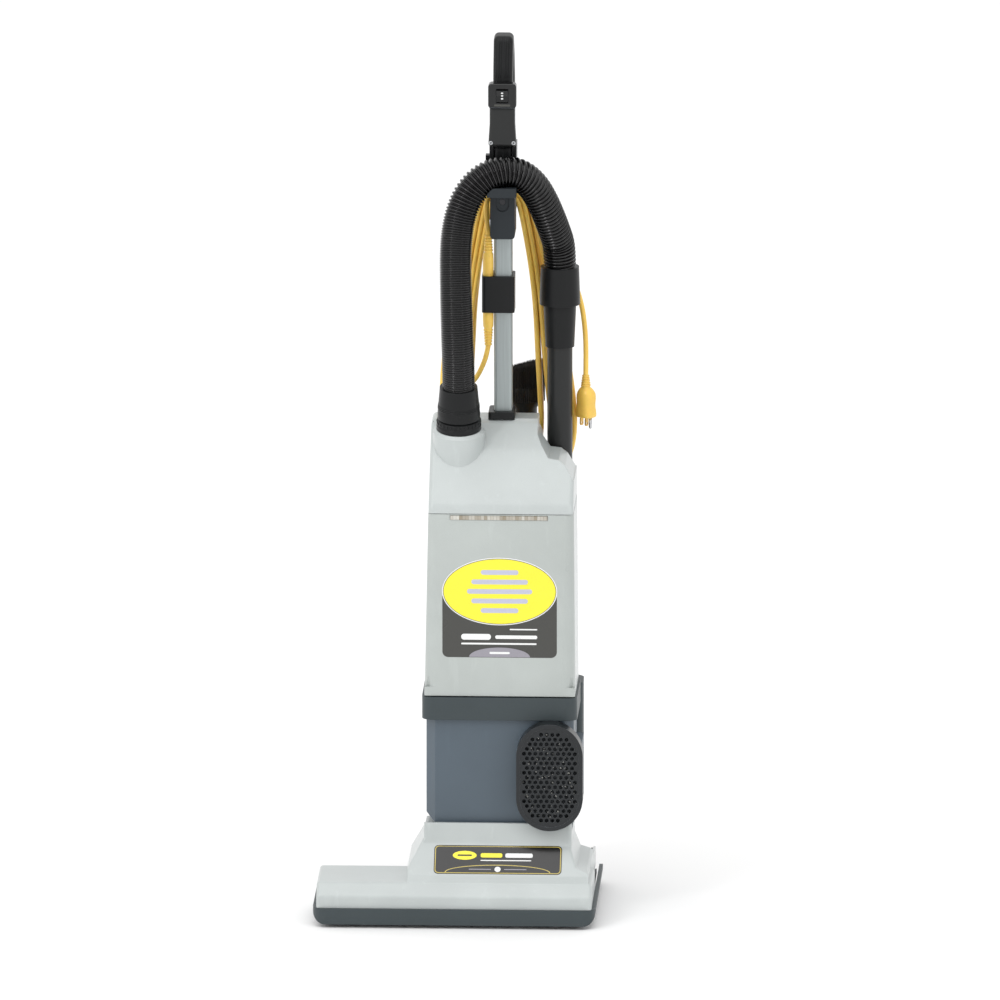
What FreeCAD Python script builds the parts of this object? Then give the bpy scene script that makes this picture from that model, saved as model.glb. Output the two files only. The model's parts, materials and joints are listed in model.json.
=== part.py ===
import FreeCAD, Part
import math
import os
import re
import Sketcher
from FreeCAD import Placement, Rotation, Vector

# Commercial upright vacuum cleaner, millimetres. The origin is on the floor under the middle of the
# cleaner. +Z is up, the front faces -Y and the user stands behind, at +Y.

SIZES = {
    "wall": (3, "thickness of the moulded casings"),
    "gap": (0.4, "clearance between pieces of different bodies"),
    "head_half": (195, "half width of the floor head with its bumper"),
    "head_front": (-165, "front of the bumper"),
    "guard": (5, "thickness of the bumper and its lowest edge"),
    "guard_top": (27, "top of the bumper"),
    "wing_back": (-38, "back of the low wing"),
    "wing_top": (60, "top of the low wing"),
    "hump_left": (-66, "left side of the hump under the motor housing"),
    "hump_top": (132, "crest of the hump in front of the motor housing"),
    "deck_top": (121, "deck of the hump under the motor housing"),
    "deck_back": (22, "back of the deck"),
    "roll_y": (-115, "brush roll axis, front to back"),
    "roll_z": (26, "brush roll axis, height"),
    "roll_radius": (17, "core of the brush roll"),
    "bristle_radius": (25, "tips of the bristles"),
    "tunnel_radius": (27, "inside of the brush tunnel"),
    "spindle_radius": (4, "spindles, axles and motor shafts"),
    "motor_y": (-14, "brush motor axis, front to back"),
    "motor_z": (56, "brush motor axis, height"),
    "belt_left": (166, "left side of the belt pulleys"),
    "belt_right": (177, "right side of the belt pulleys"),
    "pivot_y": (70, "recline axis, front to back"),
    "pivot_z": (75, "recline axis, height"),
    "drum_radius": (42, "hollow pivot drum"),
    "trunnion_radius": (16, "trunnions of the pivot drum"),
    "neck_left": (20, "left end of the pivot drum"),
    "neck_right": (140, "right end of the pivot drum"),
    "wheel_y": (104, "rear axle, front to back"),
    "wheel_radius": (27, "rear wheels with their tyres"),
    "roller_y": (-20, "front rollers, front to back"),
    "roller_radius": (8, "front rollers"),
    "knob_x": (-14, "height knob, left to right"),
    "knob_y": (62, "height knob, front to back"),
    "pedal_y": (118, "pedal pin, front to back"),
    "pedal_z": (42, "pedal pin, height"),
    "body_middle": (60, "middle plane of the upright body and handle"),
    "body_left": (-42, "left side of the upright body"),
    "body_right": (162, "right side of the upright body"),
    "body_front": (-80, "front of the bag door"),
    "body_rear": (70, "back of the upright body"),
    "door_back": (-60, "back edge of the bag door"),
    "housing_low": (128.5, "bottom of the motor housing"),
    "waist_low": (277, "bottom of the waist band"),
    "waist_top": (309, "top of the waist band"),
    "door_top": (568, "top of the bag door"),
    "cover_top": (679.5, "top of the upper cover"),
    "channel_x": (114, "left side of the wand channel"),
    "channel_y": (47, "front of the wand channel"),
    "grille_x": (130, "middle of the exhaust grille, left to right"),
    "grille_z": (202.5, "middle of the exhaust grille, height"),
    "grille_radius": (46, "round ends of the exhaust grille"),
    "grille_rise": (29.5, "half of the grille's straight sides"),
    "grille_front": (-110, "front of the exhaust grille"),
    "hole_pitch": (7.8, "distance between exhaust holes"),
    "hole_radius": (3.1, "exhaust holes, over their corners"),
    "tube_y": (45, "handle tube axis, front to back"),
    "tube_wide": (25, "handle tube, left to right"),
    "tube_deep": (30, "handle tube, front to back"),
    "handle_low": (1040, "bottom of the loop handle"),
    "grip_half": (13.5, "half thickness of the loop handle"),
    "saddle_low": (936, "bottom of the hose saddle"),
    "saddle_top": (1002, "top of the hose saddle's block"),
    "cord_hook_z": (960, "upper cord hook axis, height"),
    "cord_hook_radius": (15.4, "upper cord hook"),
    "low_hook_z": (592.4, "lower cord hook axis, height"),
    "low_hook_radius": (11.4, "lower cord hook"),
    "hose_x": (1, "hose port axis, left to right"),
    "hose_y": (-12, "hose port, front to back"),
    "hose_z": (674, "hose port, height"),
    "hose_lean": (10, "forward lean of the hose port, degrees"),
    "hose_width": (45, "suction hose, outer diameter"),
    "wand_x": (137, "wand axis, left to right"),
    "wand_y": (70, "wand axis, front to back"),
    "wand_radius": (17.4, "wand tube"),
    "wand_low": (226, "lower end of the wand"),
    "wand_top": (830, "upper end of the wand"),
    "cuff_top": (886, "top of the wand cuff"),
    "cord_width": (7, "mains cord, outer diameter"),
    "coupler_x": (39.5, "cord coupler axis, left to right"),
    "coupler_y": (35, "cord coupler axis, front to back"),
    "plug_x": (172, "mains plug axis, left to right"),
    "plug_y": (90, "mains plug axis, front to back"),
    "hank_front": (94, "front of the hank of cord"),
    "hank_back": (126, "back of the hank of cord"),
    "tool_x": (20, "crevice tool axis, left to right"),
    "tool_y": (94, "crevice tool axis, front to back"),
    "tool_low": (318, "lower end of the crevice tool"),
    "tool_top": (540, "upper end of the crevice tool"),
    "brush_x": (86, "dusting brush axis, left to right"),
    "brush_y": (147, "dusting brush axis, front to back"),
}

# Left to right and height of the screws in the rear casing.
SCREWS = [("body_left + 14", "150"), ("body_left + 14", "255"), ("95", "150"), ("95", "255")]

# Left and right face of each front roller.
ROLLERS = [("-51", "-35"), ("135", "151")]

doc = FreeCAD.newDocument("UprightVacuum")
sheet = doc.addObject("Spreadsheet::Sheet", "Sizes")
for line, (name, (number, meaning)) in enumerate(SIZES.items(), 1):
    sheet.set(f"A{line}", name)
    sheet.set(f"B{line}", str(number))
    sheet.set(f"C{line}", meaning)
    sheet.setAlias(f"B{line}", name)
doc.recompute()

PLANES = {"XY": ("XY_Plane", 1), "XZ": ("XZ_Plane", -1), "YZ": ("YZ_Plane", 1)}
OUTLINE_AXES = {"XY": (0, 1), "XZ": (0, 2), "YZ": (1, 2)}
TURNS = {
    "x": Rotation(Vector(0, 1, 0), 90),
    "y": Rotation(Vector(1, 0, 0), -90),
    "z": Rotation(),
}
nodes = {}


# ---------------------------------------------------------------- sizes and features

def bound(text):
    """A size written with the sheet's names, as an expression of the document."""
    return re.sub(r"\b[a-z][a-z_]*\b(?!\()", r"Sizes.\g<0>", str(text))


def size(text):
    """The present value of a size."""
    return float(sheet.evalExpression(bound(text)))


def drive(thing, prop, text):
    """Bind a property to the sheet."""
    thing.setExpression(prop, bound(text))


def keep(label, thing):
    """Name a finished sub-part."""
    thing.Label = label
    nodes[label] = thing
    return thing


def outline(body, plane, start, points):
    """A closed sketch on one of the body's own planes, every corner bound to the sheet."""
    role, _ = PLANES[plane]
    own_plane = next(item for item in body.Origin.OriginFeatures if item.Role == role)
    sketch = body.newObject("Sketcher::SketchObject", "Outline")
    sketch.AttachmentSupport = [(own_plane, "")]
    sketch.MapMode = "FlatFace"
    drive(sketch, "AttachmentOffset.Base.z", start)
    corners = [Vector(size(point[0]), size(point[1]), 0) for point in points]
    count = len(corners)
    for place in range(count):
        sketch.addGeometry(Part.LineSegment(corners[place], corners[(place + 1) % count]), False)
    for place in range(count):
        sketch.addConstraint(Sketcher.Constraint("Coincident", place, 2, (place + 1) % count, 1))
    for place, point in enumerate(points):
        for kind, text in (("DistanceX", point[0]), ("DistanceY", point[1])):
            row = sketch.addConstraint(Sketcher.Constraint(kind, -1, 1, place, 1, size(text)))
            drive(sketch, f"Constraints[{row}]", text)
    return sketch


def round_edges(body, radius, chosen):
    """Fillet the edges of the body's last feature that chosen accepts."""
    last = body.Tip
    names = [f"Edge{row}" for row, edge in enumerate(last.Shape.Edges, 1) if chosen(edge)]
    if not names:
        raise ValueError(f"no edge to round in {body.Name}")
    fillet = body.newObject("PartDesign::Fillet", "Round")
    fillet.Base = (last, names)
    drive(fillet, "Radius", radius)
    doc.recompute()
    if "Invalid" in fillet.State:
        raise ValueError(f"{body.Name} can't be rounded by {radius}")
    return body


def flat_rim(axis, place):
    """Chooses the edges that lie in one plane across an axis."""
    row = "xyz".index(axis)
    height = size(place)
    return lambda edge: all(abs(corner.Point[row] - height) < 1e-4 for corner in edge.Vertexes)


def round_corners(body, plane, points):
    """Fillet the corners whose outline point has a third value, its radius."""
    across, up = OUTLINE_AXES[plane]
    for radius in dict.fromkeys(point[2] for point in points if len(point) == 3):
        places = [(size(p[0]), size(p[1])) for p in points if len(p) == 3 and p[2] == radius]

        def at_corner(edge):
            return any(
                all(
                    abs(v.Point[across] - a) < 1e-4 and abs(v.Point[up] - b) < 1e-4
                    for v in edge.Vertexes
                )
                for a, b in places
            )

        round_edges(body, radius, at_corner)


def pad(body, plane, points, low, high):
    """Add a prism between two places along the plane's normal."""
    start = low if PLANES[plane][1] > 0 else f"-({high})"
    sketch = outline(body, plane, start, points)
    feature = body.newObject("PartDesign::Pad", "Pad")
    feature.Profile = sketch
    drive(feature, "Length", f"({high}) - ({low})")
    doc.recompute()
    round_corners(body, plane, points)
    return body


def pocket(body, plane, points, low, high):
    """Take a prism away between two places along the plane's normal."""
    before = body.Tip.Shape.Volume
    start = high if PLANES[plane][1] > 0 else f"-({low})"
    sketch = outline(body, plane, start, points)
    feature = body.newObject("PartDesign::Pocket", "Pocket")
    feature.Profile = sketch
    drive(feature, "Length", f"({high}) - ({low})")
    doc.recompute()
    if feature.Shape.Volume >= before:
        raise ValueError(f"a pocket of {body.Name} cuts nothing")
    round_corners(body, plane, points)
    return body


def prism(plane, points, low, high):
    """A new body padded from an outline."""
    return pad(doc.addObject("PartDesign::Body", "Body"), plane, points, low, high)


def lathe(points, place, turn=None):
    """A body turned about its own Z axis from (radius, height) points, then placed."""
    body = doc.addObject("PartDesign::Body", "Body")
    sketch = outline(body, "XZ", 0, points)
    feature = body.newObject("PartDesign::Revolution", "Turned")
    feature.Profile = sketch
    feature.ReferenceAxis = (sketch, ["V_Axis"])
    feature.Angle = 360
    body.Placement = Placement(Vector(), turn or Rotation())
    for axis, text in zip("xyz", place):
        drive(body, f"Placement.Base.{axis}", text)
    doc.recompute()
    return body


def block(x, y, z):
    """A box between two places along each axis."""
    box = doc.addObject("Part::Box", "Block")
    for prop, axis, (low, high) in (("Length", "x", x), ("Width", "y", y), ("Height", "z", z)):
        drive(box, prop, f"({high}) - ({low})")
        drive(box, f"Placement.Base.{axis}", low)
    return box


def rod(axis, radius, low, high, first, second):
    """A cylinder along an axis. First and second are its other two coordinates, in order."""
    cylinder = doc.addObject("Part::Cylinder", "Rod")
    cylinder.Placement = Placement(Vector(), TURNS[axis])
    drive(cylinder, "Radius", radius)
    drive(cylinder, "Height", f"({high}) - ({low})")
    places = {axis: low}
    places.update(zip([name for name in "xyz" if name != axis], (first, second)))
    for name, text in places.items():
        drive(cylinder, f"Placement.Base.{name}", text)
    return cylinder


def fuse(*pieces):
    joined = doc.addObject("Part::MultiFuse", "Joined")
    joined.Shapes = list(pieces)
    joined.Refine = True
    return joined


def cut(base, *tools):
    result = doc.addObject("Part::Cut", "Cut")
    result.Base = base
    result.Tool = tools[0] if len(tools) == 1 else group(*tools)
    result.Refine = True
    return result


def group(*pieces):
    together = doc.addObject("Part::Compound", "Group")
    together.Links = list(pieces)
    return together


def ring(axis, outer, inner, low, high, first, second):
    """A tube along an axis."""
    return cut(
        rod(axis, outer, low, high, first, second),
        rod(axis, inner, f"({low}) - 1", f"({high}) + 1", first, second),
    )


def stadium(radius, front, back):
    """The upright oval of the exhaust grille, with a given end radius, as a solid."""
    low, high = "grille_z - grille_rise", "grille_z + grille_rise"
    side = (f"grille_x - ({radius})", f"grille_x + ({radius})")
    return fuse(
        block(side, (front, back), (low, high)),
        rod("y", radius, front, back, "grille_x", low),
        rod("y", radius, front, back, "grille_x", high),
    )


# ---------------------------------------------------------------- cords and hose

def rounded_path(points):
    """Straight runs joined by tangent arcs. Returns the wire and the arcs' radii."""
    edges = []
    radii = []
    here = points[0]
    for before, corner, after in zip(points, points[1:], points[2:]):
        back = (before - corner).normalize()
        ahead = (after - corner).normalize()
        trim = 0.45 * min((corner - before).Length, (after - corner).Length)
        turn = math.pi - back.getAngle(ahead)
        radius = trim / math.tan(turn / 2)
        first = corner + back * trim
        last = corner + ahead * trim
        inward = (back + ahead).normalize()
        centre = corner + inward * math.hypot(radius, trim)
        edges.append(Part.LineSegment(here, first).toShape())
        edges.append(Part.Arc(first, centre - inward * radius, last).toShape())
        radii.append(round(radius))
        here = last
    edges.append(Part.LineSegment(here, points[-1]).toShape())
    return Part.Wire(edges), radii


def tube_solid(width, route):
    """A solid swept along a route, with the route's length and radii."""
    path, radii = rounded_path([Vector(*(size(value) for value in point)) for point in route])
    heading = path.Edges[0].tangentAt(path.Edges[0].FirstParameter)
    section = Part.Wire(Part.makeCircle(width / 2, path.Edges[0].Vertexes[0].Point, heading))
    tube = doc.addObject("Part::Feature", "Tube")
    tube.Shape = path.makePipeShell([section], True, True)
    expected = math.pi * width**2 / 4 * path.Length
    if abs(tube.Shape.Volume / expected - 1) > 0.01:
        raise ValueError("a tube has a wrong volume")
    return tube, path.Length, radii


def soft_tube(label, width, route):
    """A round tube along a route, as one plain solid."""
    tube, length, radii = tube_solid(width, route)
    print(f"{label}: {length:.0f} mm long, radii {radii}")
    return keep(label, tube)


def teardrop(top_radius, bottom_radius, top, bottom):
    """The face of a loop hanging over the upper hook, round at both ends."""
    middle = size("body_middle")
    lean = math.asin((bottom_radius - top_radius) / (top - bottom))
    out, rise = math.cos(lean), math.sin(lean)

    def at(side, radius, height, across=out, up=rise):
        return Vector(middle + side * radius * across, 0, height + radius * up)

    ends = [at(1, top_radius, top), at(-1, top_radius, top)]
    feet = [at(-1, bottom_radius, bottom), at(1, bottom_radius, bottom)]
    edges = [
        Part.Arc(ends[0], at(1, top_radius, top, 0, 1), ends[1]).toShape(),
        Part.LineSegment(ends[1], feet[0]).toShape(),
        Part.Arc(feet[0], at(1, bottom_radius, bottom, 0, -1), feet[1]).toShape(),
        Part.LineSegment(feet[1], ends[0]).toShape(),
    ]
    return Part.Face(Part.Wire(edges))


# ---------------------------------------------------------------- floor head

def hump_flanks(inset):
    """What is left off beside the hump, outside it or, with an inset, inside its wall."""
    side = "head_half - guard"
    left = [
        ("hump_left - 10", f"wing_top + 0.5 - {inset}"),
        (f"hump_left + {inset}", f"wing_top + 0.5 - {inset}"),
        (f"hump_left + {inset}", f"74 - {inset}"), (f"body_left - 2 + {inset}", f"112 - {inset}"),
        (f"body_left - 2 + {inset}", "140"), ("hump_left - 10", "140"),
    ]
    right = [
        ("head_half + 10", f"wing_top + 0.5 - {inset}"),
        (f"{side} - {inset}", f"wing_top + 0.5 - {inset}"),
        (f"{side} - {inset}", f"63.5 - {inset}"), (f"{side} - 8 - {inset}", f"72.5 - {inset}"),
        (f"{side} - 22 - {inset}", f"77 - {inset}"), (f"{side} - 30 - {inset}", f"97 - {inset}"),
        (f"{side} - 30 - {inset}", "140"), ("head_half + 10", "140"),
    ]
    return left, right


def make_nozzle_cover():
    """Light grey top of the head: a low wing, and a hump that carries the motor housing."""
    side = "head_half - guard"
    front = "head_front + guard"
    body = prism(
        "YZ",
        [(front, "guard_top"), (front, "44", "7"), ("-142", "wing_top", "10"),
         ("wing_back", "wing_top", "7"), ("wing_back", "guard_top")],
        f"-({side})",
        side,
    )

    def end_rim(edge):
        ends = [corner.Point for corner in edge.Vertexes]
        at_end = all(abs(abs(end.x) - size(side)) < 1e-3 for end in ends)
        return at_end and any(end.z > size("guard_top") + 1 for end in ends)

    round_edges(body, "5", end_rim)
    pad(
        body,
        "YZ",
        [("-146", "guard_top"), ("-146", "56"), ("-142", "wing_top"), ("-130", "68", "14"),
         ("-94", "104", "12"), ("-87", "hump_top"), ("-82", "hump_top"), ("-82", "deck_top"),
         ("4", "deck_top", "10"), ("deck_back", "100"), ("deck_back", "guard_top")],
        "hump_left",
        f"{side} - 5",
    )
    for flank in hump_flanks("0"):
        pocket(body, "XZ", flank, "-150", "30")

    def flank_crease(beside, front, low):
        return lambda edge: all(
            beside(v.Point.x) and v.Point.y < front and v.Point.z > low for v in edge.Vertexes
        )

    round_edges(body, "3", flank_crease(lambda x: x < size("body_left"), -85, 61))
    round_edges(body, "5", flank_crease(lambda x: x > size("body_right") - 3, -92, 73))
    inner = "head_half - guard - wall"
    hollow = prism(
        "YZ",
        [(f"{front} + wall", "10"), (f"{front} + wall", "42"), ("-140.5", "wing_top - wall"),
         ("wing_back - wall", "wing_top - wall"), ("wing_back - wall", "10")],
        f"-({inner})",
        inner,
    )
    bay = prism(
        "YZ",
        [("-140", "10"), ("-140", "wing_top - wall"), ("-128", "64"), ("-93", "98.5"),
         ("-88", "deck_top - wall"), ("3", "deck_top - wall"), ("deck_back - wall", "98"),
         ("deck_back - wall", "10")],
        "hump_left + wall",
        f"{inner} - 5",
    )
    outside = [prism("XZ", flank, "-150", "30") for flank in hump_flanks("wall")]
    rear_opening = block(
        ("neck_left - 22", "neck_right + 15"), ("0", "deck_back + 5"), ("10", "112")
    )
    duct_opening = block(("-54", "-22"), ("10", "deck_back + 5"), ("30", "66"))
    grille_relief = rod(
        "y", "grille_radius + 2", "-120", "-70", "grille_x", "grille_z - grille_rise"
    )
    cheeks = [
        prism(
            "YZ",
            [("deck_back - 1", "guard_top"), ("deck_back - 1", top), ("58", "60"), ("118", "52"),
             ("118", "guard_top")],
            left,
            right,
        )
        for left, right, top in (
            ("hump_left", "hump_left + wall", "74"),
            (f"{side} - 5 - wall", f"{side} - 5", "62"),
        )
    ]
    top = cut(
        body,
        hollow,
        cut(bay, *outside),
        rear_opening,
        duct_opening,
        grille_relief,
    )
    keep("nozzle_cover", fuse(top, *cheeks))


def make_bumper():
    """Furniture guard round the front and both ends."""
    body = prism(
        "XY",
        [("-head_half", "wing_back"), ("-head_half", "head_front", "20"),
         ("head_half", "head_front", "20"), ("head_half", "118"),
         ("head_half - guard", "118"), ("head_half - guard", "head_front + guard", "15"),
         ("guard - head_half", "head_front + guard", "15"), ("guard - head_half", "wing_back")],
        "guard",
        "guard_top",
    )
    corners = [
        cut(
            block((inner, outer), ("head_front - 1", "119"), ("guard - 1", "guard + 16")),
            rod("y", "16", "head_front - 2", "120", centre, "guard + 16"),
        )
        for inner, outer, centre in (
            ("-head_half - 1", "16 - head_half", "16 - head_half"),
            ("head_half - 16", "head_half + 1", "head_half - 16"),
        )
    ]
    keep("bumper", cut(body, *corners))


def make_base():
    """Chassis: brush tunnel, motor bay, rear floor and the arms that hold the pivot."""
    ends = "head_half - guard - wall - 0.5"
    tunnel = prism(
        "YZ",
        [("-154", "7"), ("-154", "40"), ("-139", "wing_top - wall - 1.5"),
         ("-72", "wing_top - wall - 1.5"), ("-72", "7")],
        f"-({ends})",
        ends,
    )
    floor = block(("hump_left + 4", ends), ("-72.5", "118"), ("14", "20"))
    cradle = cut(
        block(("8", "116"), ("motor_y - 30", "motor_y + 30"), ("19", "motor_z - 10")),
        rod("x", "27.05", "11.5", "112.5", "motor_y", "motor_z"),
        rod("x", "13", "100", "120", "motor_y", "motor_z"),
    )
    side_wall = block(("head_half - 16", "head_half - 13.5"), ("deck_back + 1", "118"), ("14", "50"))
    arms = [
        block((left, right), ("pivot_y - 20", "pivot_y + 20"), ("19", "pivot_z"))
        for left, right in pivot_arms()
    ]
    brackets = [
        block((left, right), ("wheel_y - 8", "wheel_y + 8"), ("18", "wheel_radius + 9"))
        for left, right in (("-28", "-20"), ("143", "147.5"))
    ]
    posts = [
        block((left, right), ("108", "pedal_y + 5"), ("19", "48"))
        for left, right in (("-19.6", "-16.4"), ("16.4", "19.6"))
    ]
    pedal_pin = rod("x", "spindle_radius", "-19.6", "19.6", "pedal_y", "pedal_z")
    body = fuse(tunnel, floor, cradle, side_wall, *arms, *brackets, *posts, pedal_pin)
    brush_space = rod("x", "tunnel_radius", "-176", "160", "roll_y", "roll_z")
    mouth = block(("-176", "160"), ("roll_y - 27", "roll_y + 27"), ("0", "roll_z"))
    belt_space = block(
        ("belt_left - 3", "belt_right + 3"), ("roll_y - 24", "-66"), ("0", "wing_top")
    )
    belt_slot = block(("belt_left - 3", "belt_right + 3"), ("-73", "12"), ("0", "30"))
    keep(
        "base_housing",
        cut(
            body,
            brush_space,
            mouth,
            belt_space,
            belt_slot,
            rod("x", "spindle_radius + 4.2", "-190", "196", "roll_y", "roll_z"),
            rod("x", "trunnion_radius + 0.06", "0", "170", "pivot_y", "pivot_z"),
            rod("x", "spindle_radius + 0.02", "-60", "180", "wheel_y", "wheel_radius"),
            block(("-54", "-30"), ("wheel_y - 30", "wheel_y + 30"), ("0", "60")),
            block(("147.5", "173"), ("wheel_y - 30", "wheel_y + 30"), ("0", "54.6")),
            block(("knob_x - 13", "knob_x + 13"), ("roller_y", "knob_y + 16"), ("0", "14.6")),
            block(("-57", "157"), ("roller_y - 10", "roller_y + 14"), ("0", "14.6")),
            *[
                block((f"{left} - 2", f"{right} + 2"), ("roller_y - 10", "roller_y + 10"), ("0", "17.5"))
                for left, right in ROLLERS
            ],
            block(("-54", "-22"), ("-92", "-71"), ("26", "50")),
            rod("z", "6", "0", "60", "knob_x", "knob_y"),
        ),
    )


def pivot_arms():
    """Left and right edge of each pivot arm."""
    return (("neck_left - 12.5", "neck_left - 0.5"), ("neck_right + 0.5", "neck_right + 12.5"))


def make_pivot_clamps():
    """Caps that close the pivot arms over the trunnions."""
    bore = rod("x", "trunnion_radius + 0.06", "0", "170", "pivot_y", "pivot_z")
    caps = [
        block((left, right), ("pivot_y - 20", "pivot_y + 20"), ("pivot_z", "pivot_z + 21"))
        for left, right in pivot_arms()
    ]
    keep("pivot_clamps", cut(group(*caps), bore))


def make_sole_plate():
    """Steel plate round the nozzle mouth."""
    plate = block(("-184", "184"), ("-152", "-76"), ("3.5", "6.5"))
    mouth = block(("-174", "158"), ("roll_y - 26", "roll_y + 26"), ("0", "10"))
    keep("sole_plate", cut(plate, mouth))


def make_brush_roll():
    """Brush roll with its pulley, four rows of bristles and the two end bearings."""
    core = rod("x", "roll_radius", "-174", "158", "roll_y", "roll_z")
    pulley = rod("x", "roll_radius - 2", "belt_left", "belt_right", "roll_y", "roll_z")
    spindle = rod("x", "spindle_radius", "-184", "184", "roll_y", "roll_z")
    keep("brush_roll", fuse(core, pulley, spindle))
    axis = Vector(0, size("roll_y"), size("roll_z"))
    rows = []
    for turn in range(45, 360, 90):
        row = block(("-170", "154"), ("-2", "2"), ("roll_radius", "bristle_radius"))
        holder = group(row)
        holder.Placement = Placement(axis, Rotation(Vector(1, 0, 0), turn))
        drive(holder, "Placement.Base.y", "roll_y")
        drive(holder, "Placement.Base.z", "roll_z")
        rows.append(holder)
    keep("brush_bristles", group(*rows))
    keep(
        "brush_bearings",
        group(*[
            ring("x", "spindle_radius + 4", "spindle_radius + 0.05", left, right, "roll_y", "roll_z")
            for left, right in (("-184", "-178"), ("179.5", "184"))
        ]),
    )


def make_brush_drive():
    """The head's own motor, its pulley and the belt to the brush roll."""
    can = rod("x", "27", "12", "112", "motor_y", "motor_z")
    nose = rod("x", "12", "112", "124", "motor_y", "motor_z")
    bore = rod("x", "spindle_radius + 0.05", "100", "130", "motor_y", "motor_z")
    keep("brush_motor", cut(fuse(can, nose), bore))
    shaft = rod("x", "spindle_radius", "102", "belt_right + 1", "motor_y", "motor_z")
    wheel = rod("x", "7.5", "belt_left", "belt_right", "motor_y", "motor_z")
    keep("motor_pulley", fuse(shaft, wheel))
    keep("drive_belt", make_belt())


def make_belt():
    """A band round both pulleys, thin and closed."""
    start = Vector(0, size("roll_y"), size("roll_z"))
    end = Vector(0, size("motor_y"), size("motor_z"))
    along = end - start
    left, right = size("belt_left + 0.5"), size("belt_right - 0.5")

    def hull(big, small):
        swing = math.acos((big - small) / along.Length)
        heading = Vector(along).normalize()
        edges = []
        corners = []
        for side in (1, -1):
            away = Rotation(Vector(1, 0, 0), math.degrees(side * swing)).multVec(heading)
            corners.append((start + away * big, end + away * small))
        (low_start, low_end), (high_start, high_end) = corners
        edges.append(Part.LineSegment(low_start, low_end).toShape())
        edges.append(Part.Arc(low_end, end + heading * small, high_end).toShape())
        edges.append(Part.LineSegment(high_end, high_start).toShape())
        edges.append(Part.Arc(high_start, start - heading * big, low_start).toShape())
        face = Part.Face(Part.Wire(edges))
        face.translate(Vector(left, 0, 0))
        return face.extrude(Vector(right - left, 0, 0))

    belt = doc.addObject("Part::Feature", "Belt")
    big, small = size("roll_radius - 2"), 7.5
    slack = size("gap")
    belt.Shape = hull(big + slack + 2, small + slack + 2).cut(hull(big + slack, small + slack))
    return belt


def make_wheels():
    """Rear axle, two wheels with rubber tyres, and the front rollers on their carriage."""
    keep("rear_axle", rod("x", "spindle_radius", "-56", "174", "wheel_y", "wheel_radius"))
    for side, left, right in (("left", "-53", "-31"), ("right", "149", "171")):
        place = ("wheel_y", "wheel_radius")
        hub = cut(
            ring("x", "wheel_radius - 5", "spindle_radius + 0.05", left, right, *place),
            ring("x", "wheel_radius - 9", "9", f"{left} - 1", f"{left} + 4", *place),
            ring("x", "wheel_radius - 9", "9", f"{right} - 4", f"{right} + 1", *place),
        )
        tyre = ring("x", "wheel_radius", "wheel_radius - 5.01", left, right, *place)
        keep(f"rear_wheel_{side}", fuse(hub, tyre))
    bar = block(("-56", "156"), ("roller_y - 8", "roller_y + 12"), ("8.5", "12.5"))
    arm = block(("knob_x - 12", "knob_x + 12"), ("roller_y", "knob_y + 14"), ("8.5", "12.5"))
    windows = []
    mounts = []
    rollers = []
    for left, right in ROLLERS:
        windows.append(
            block((f"{left} - 1", f"{right} + 1"), ("roller_y - 9", "roller_y + 9"), ("0", "20"))
        )
        for sides in ((f"{left} - 4", f"{left} - 1"), (f"{right} + 1", f"{right} + 4")):
            mounts.append(block(sides, ("roller_y - 5", "roller_y + 12"), ("4.5", "12.5")))
        mounts.append(
            rod("x", "3", f"{left} - 3", f"{right} + 3", "roller_y", "roller_radius")
        )
        rollers.append(ring("x", "roller_radius", "3.1", left, right, "roller_y", "roller_radius"))
    keep("roller_carriage", fuse(cut(fuse(bar, arm), *windows), *mounts))
    keep("front_rollers", group(*rollers))
    knob = lathe(
        [("0", "0"), ("5.6", "0"), ("5.6", "6"), ("16", "6"), ("16", "10"), ("14", "24"),
         ("0", "24")],
        ("knob_x", "knob_y", "14.8"),
    )
    keep("height_knob", knob)


def make_pedal():
    """Foot pedal at the back, on the pin of the base."""
    plate = prism(
        "YZ",
        [("pedal_y", "40"), ("124", "34"), ("158", "40", "4"), ("158", "46", "2"), ("126", "48"),
         ("pedal_y", "50")],
        "-16",
        "16",
    )
    hub = rod("x", "7", "-16", "16", "pedal_y", "pedal_z")
    bore = rod("x", "spindle_radius + 0.05", "-20", "20", "pedal_y", "pedal_z")
    keep("release_pedal", cut(fuse(plate, hub), bore))


def make_inlet_duct():
    """Air duct from the brush tunnel to the hollow pivot, on the recline axis at its end."""
    route = [
        (-38, -71.5, 39), (-38, -44, 39.5), (-38, -6, 44), (-38, 28, 53), (-31, 57, 66),
        (-12, "pivot_y", "pivot_z"), ("neck_left - 12.6", "pivot_y", "pivot_z"),
    ]
    soft_tube("inlet_duct", 26, route)


# ---------------------------------------------------------------- upright body

def make_pivot_neck():
    """Hollow drum on two trunnions, with the neck that carries the motor housing."""
    drum = rod("x", "drum_radius", "neck_left", "neck_right", "pivot_y", "pivot_z")
    trunnions = rod(
        "x", "trunnion_radius", "neck_left - 12", "neck_right + 12", "pivot_y", "pivot_z"
    )
    neck = block(
        ("neck_left", "neck_right"), ("pivot_y - 36", "pivot_y + 14"), ("pivot_z", "housing_low")
    )
    hollow = rod("x", "12", "neck_left - 20", "neck_right - 10", "pivot_y", "pivot_z")
    air = rod("z", "14", "pivot_z", "housing_low + 1", "neck_left + 30", "pivot_y - 16")
    keep("pivot_neck", cut(fuse(drum, trunnions, neck), hollow, air))


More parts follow.
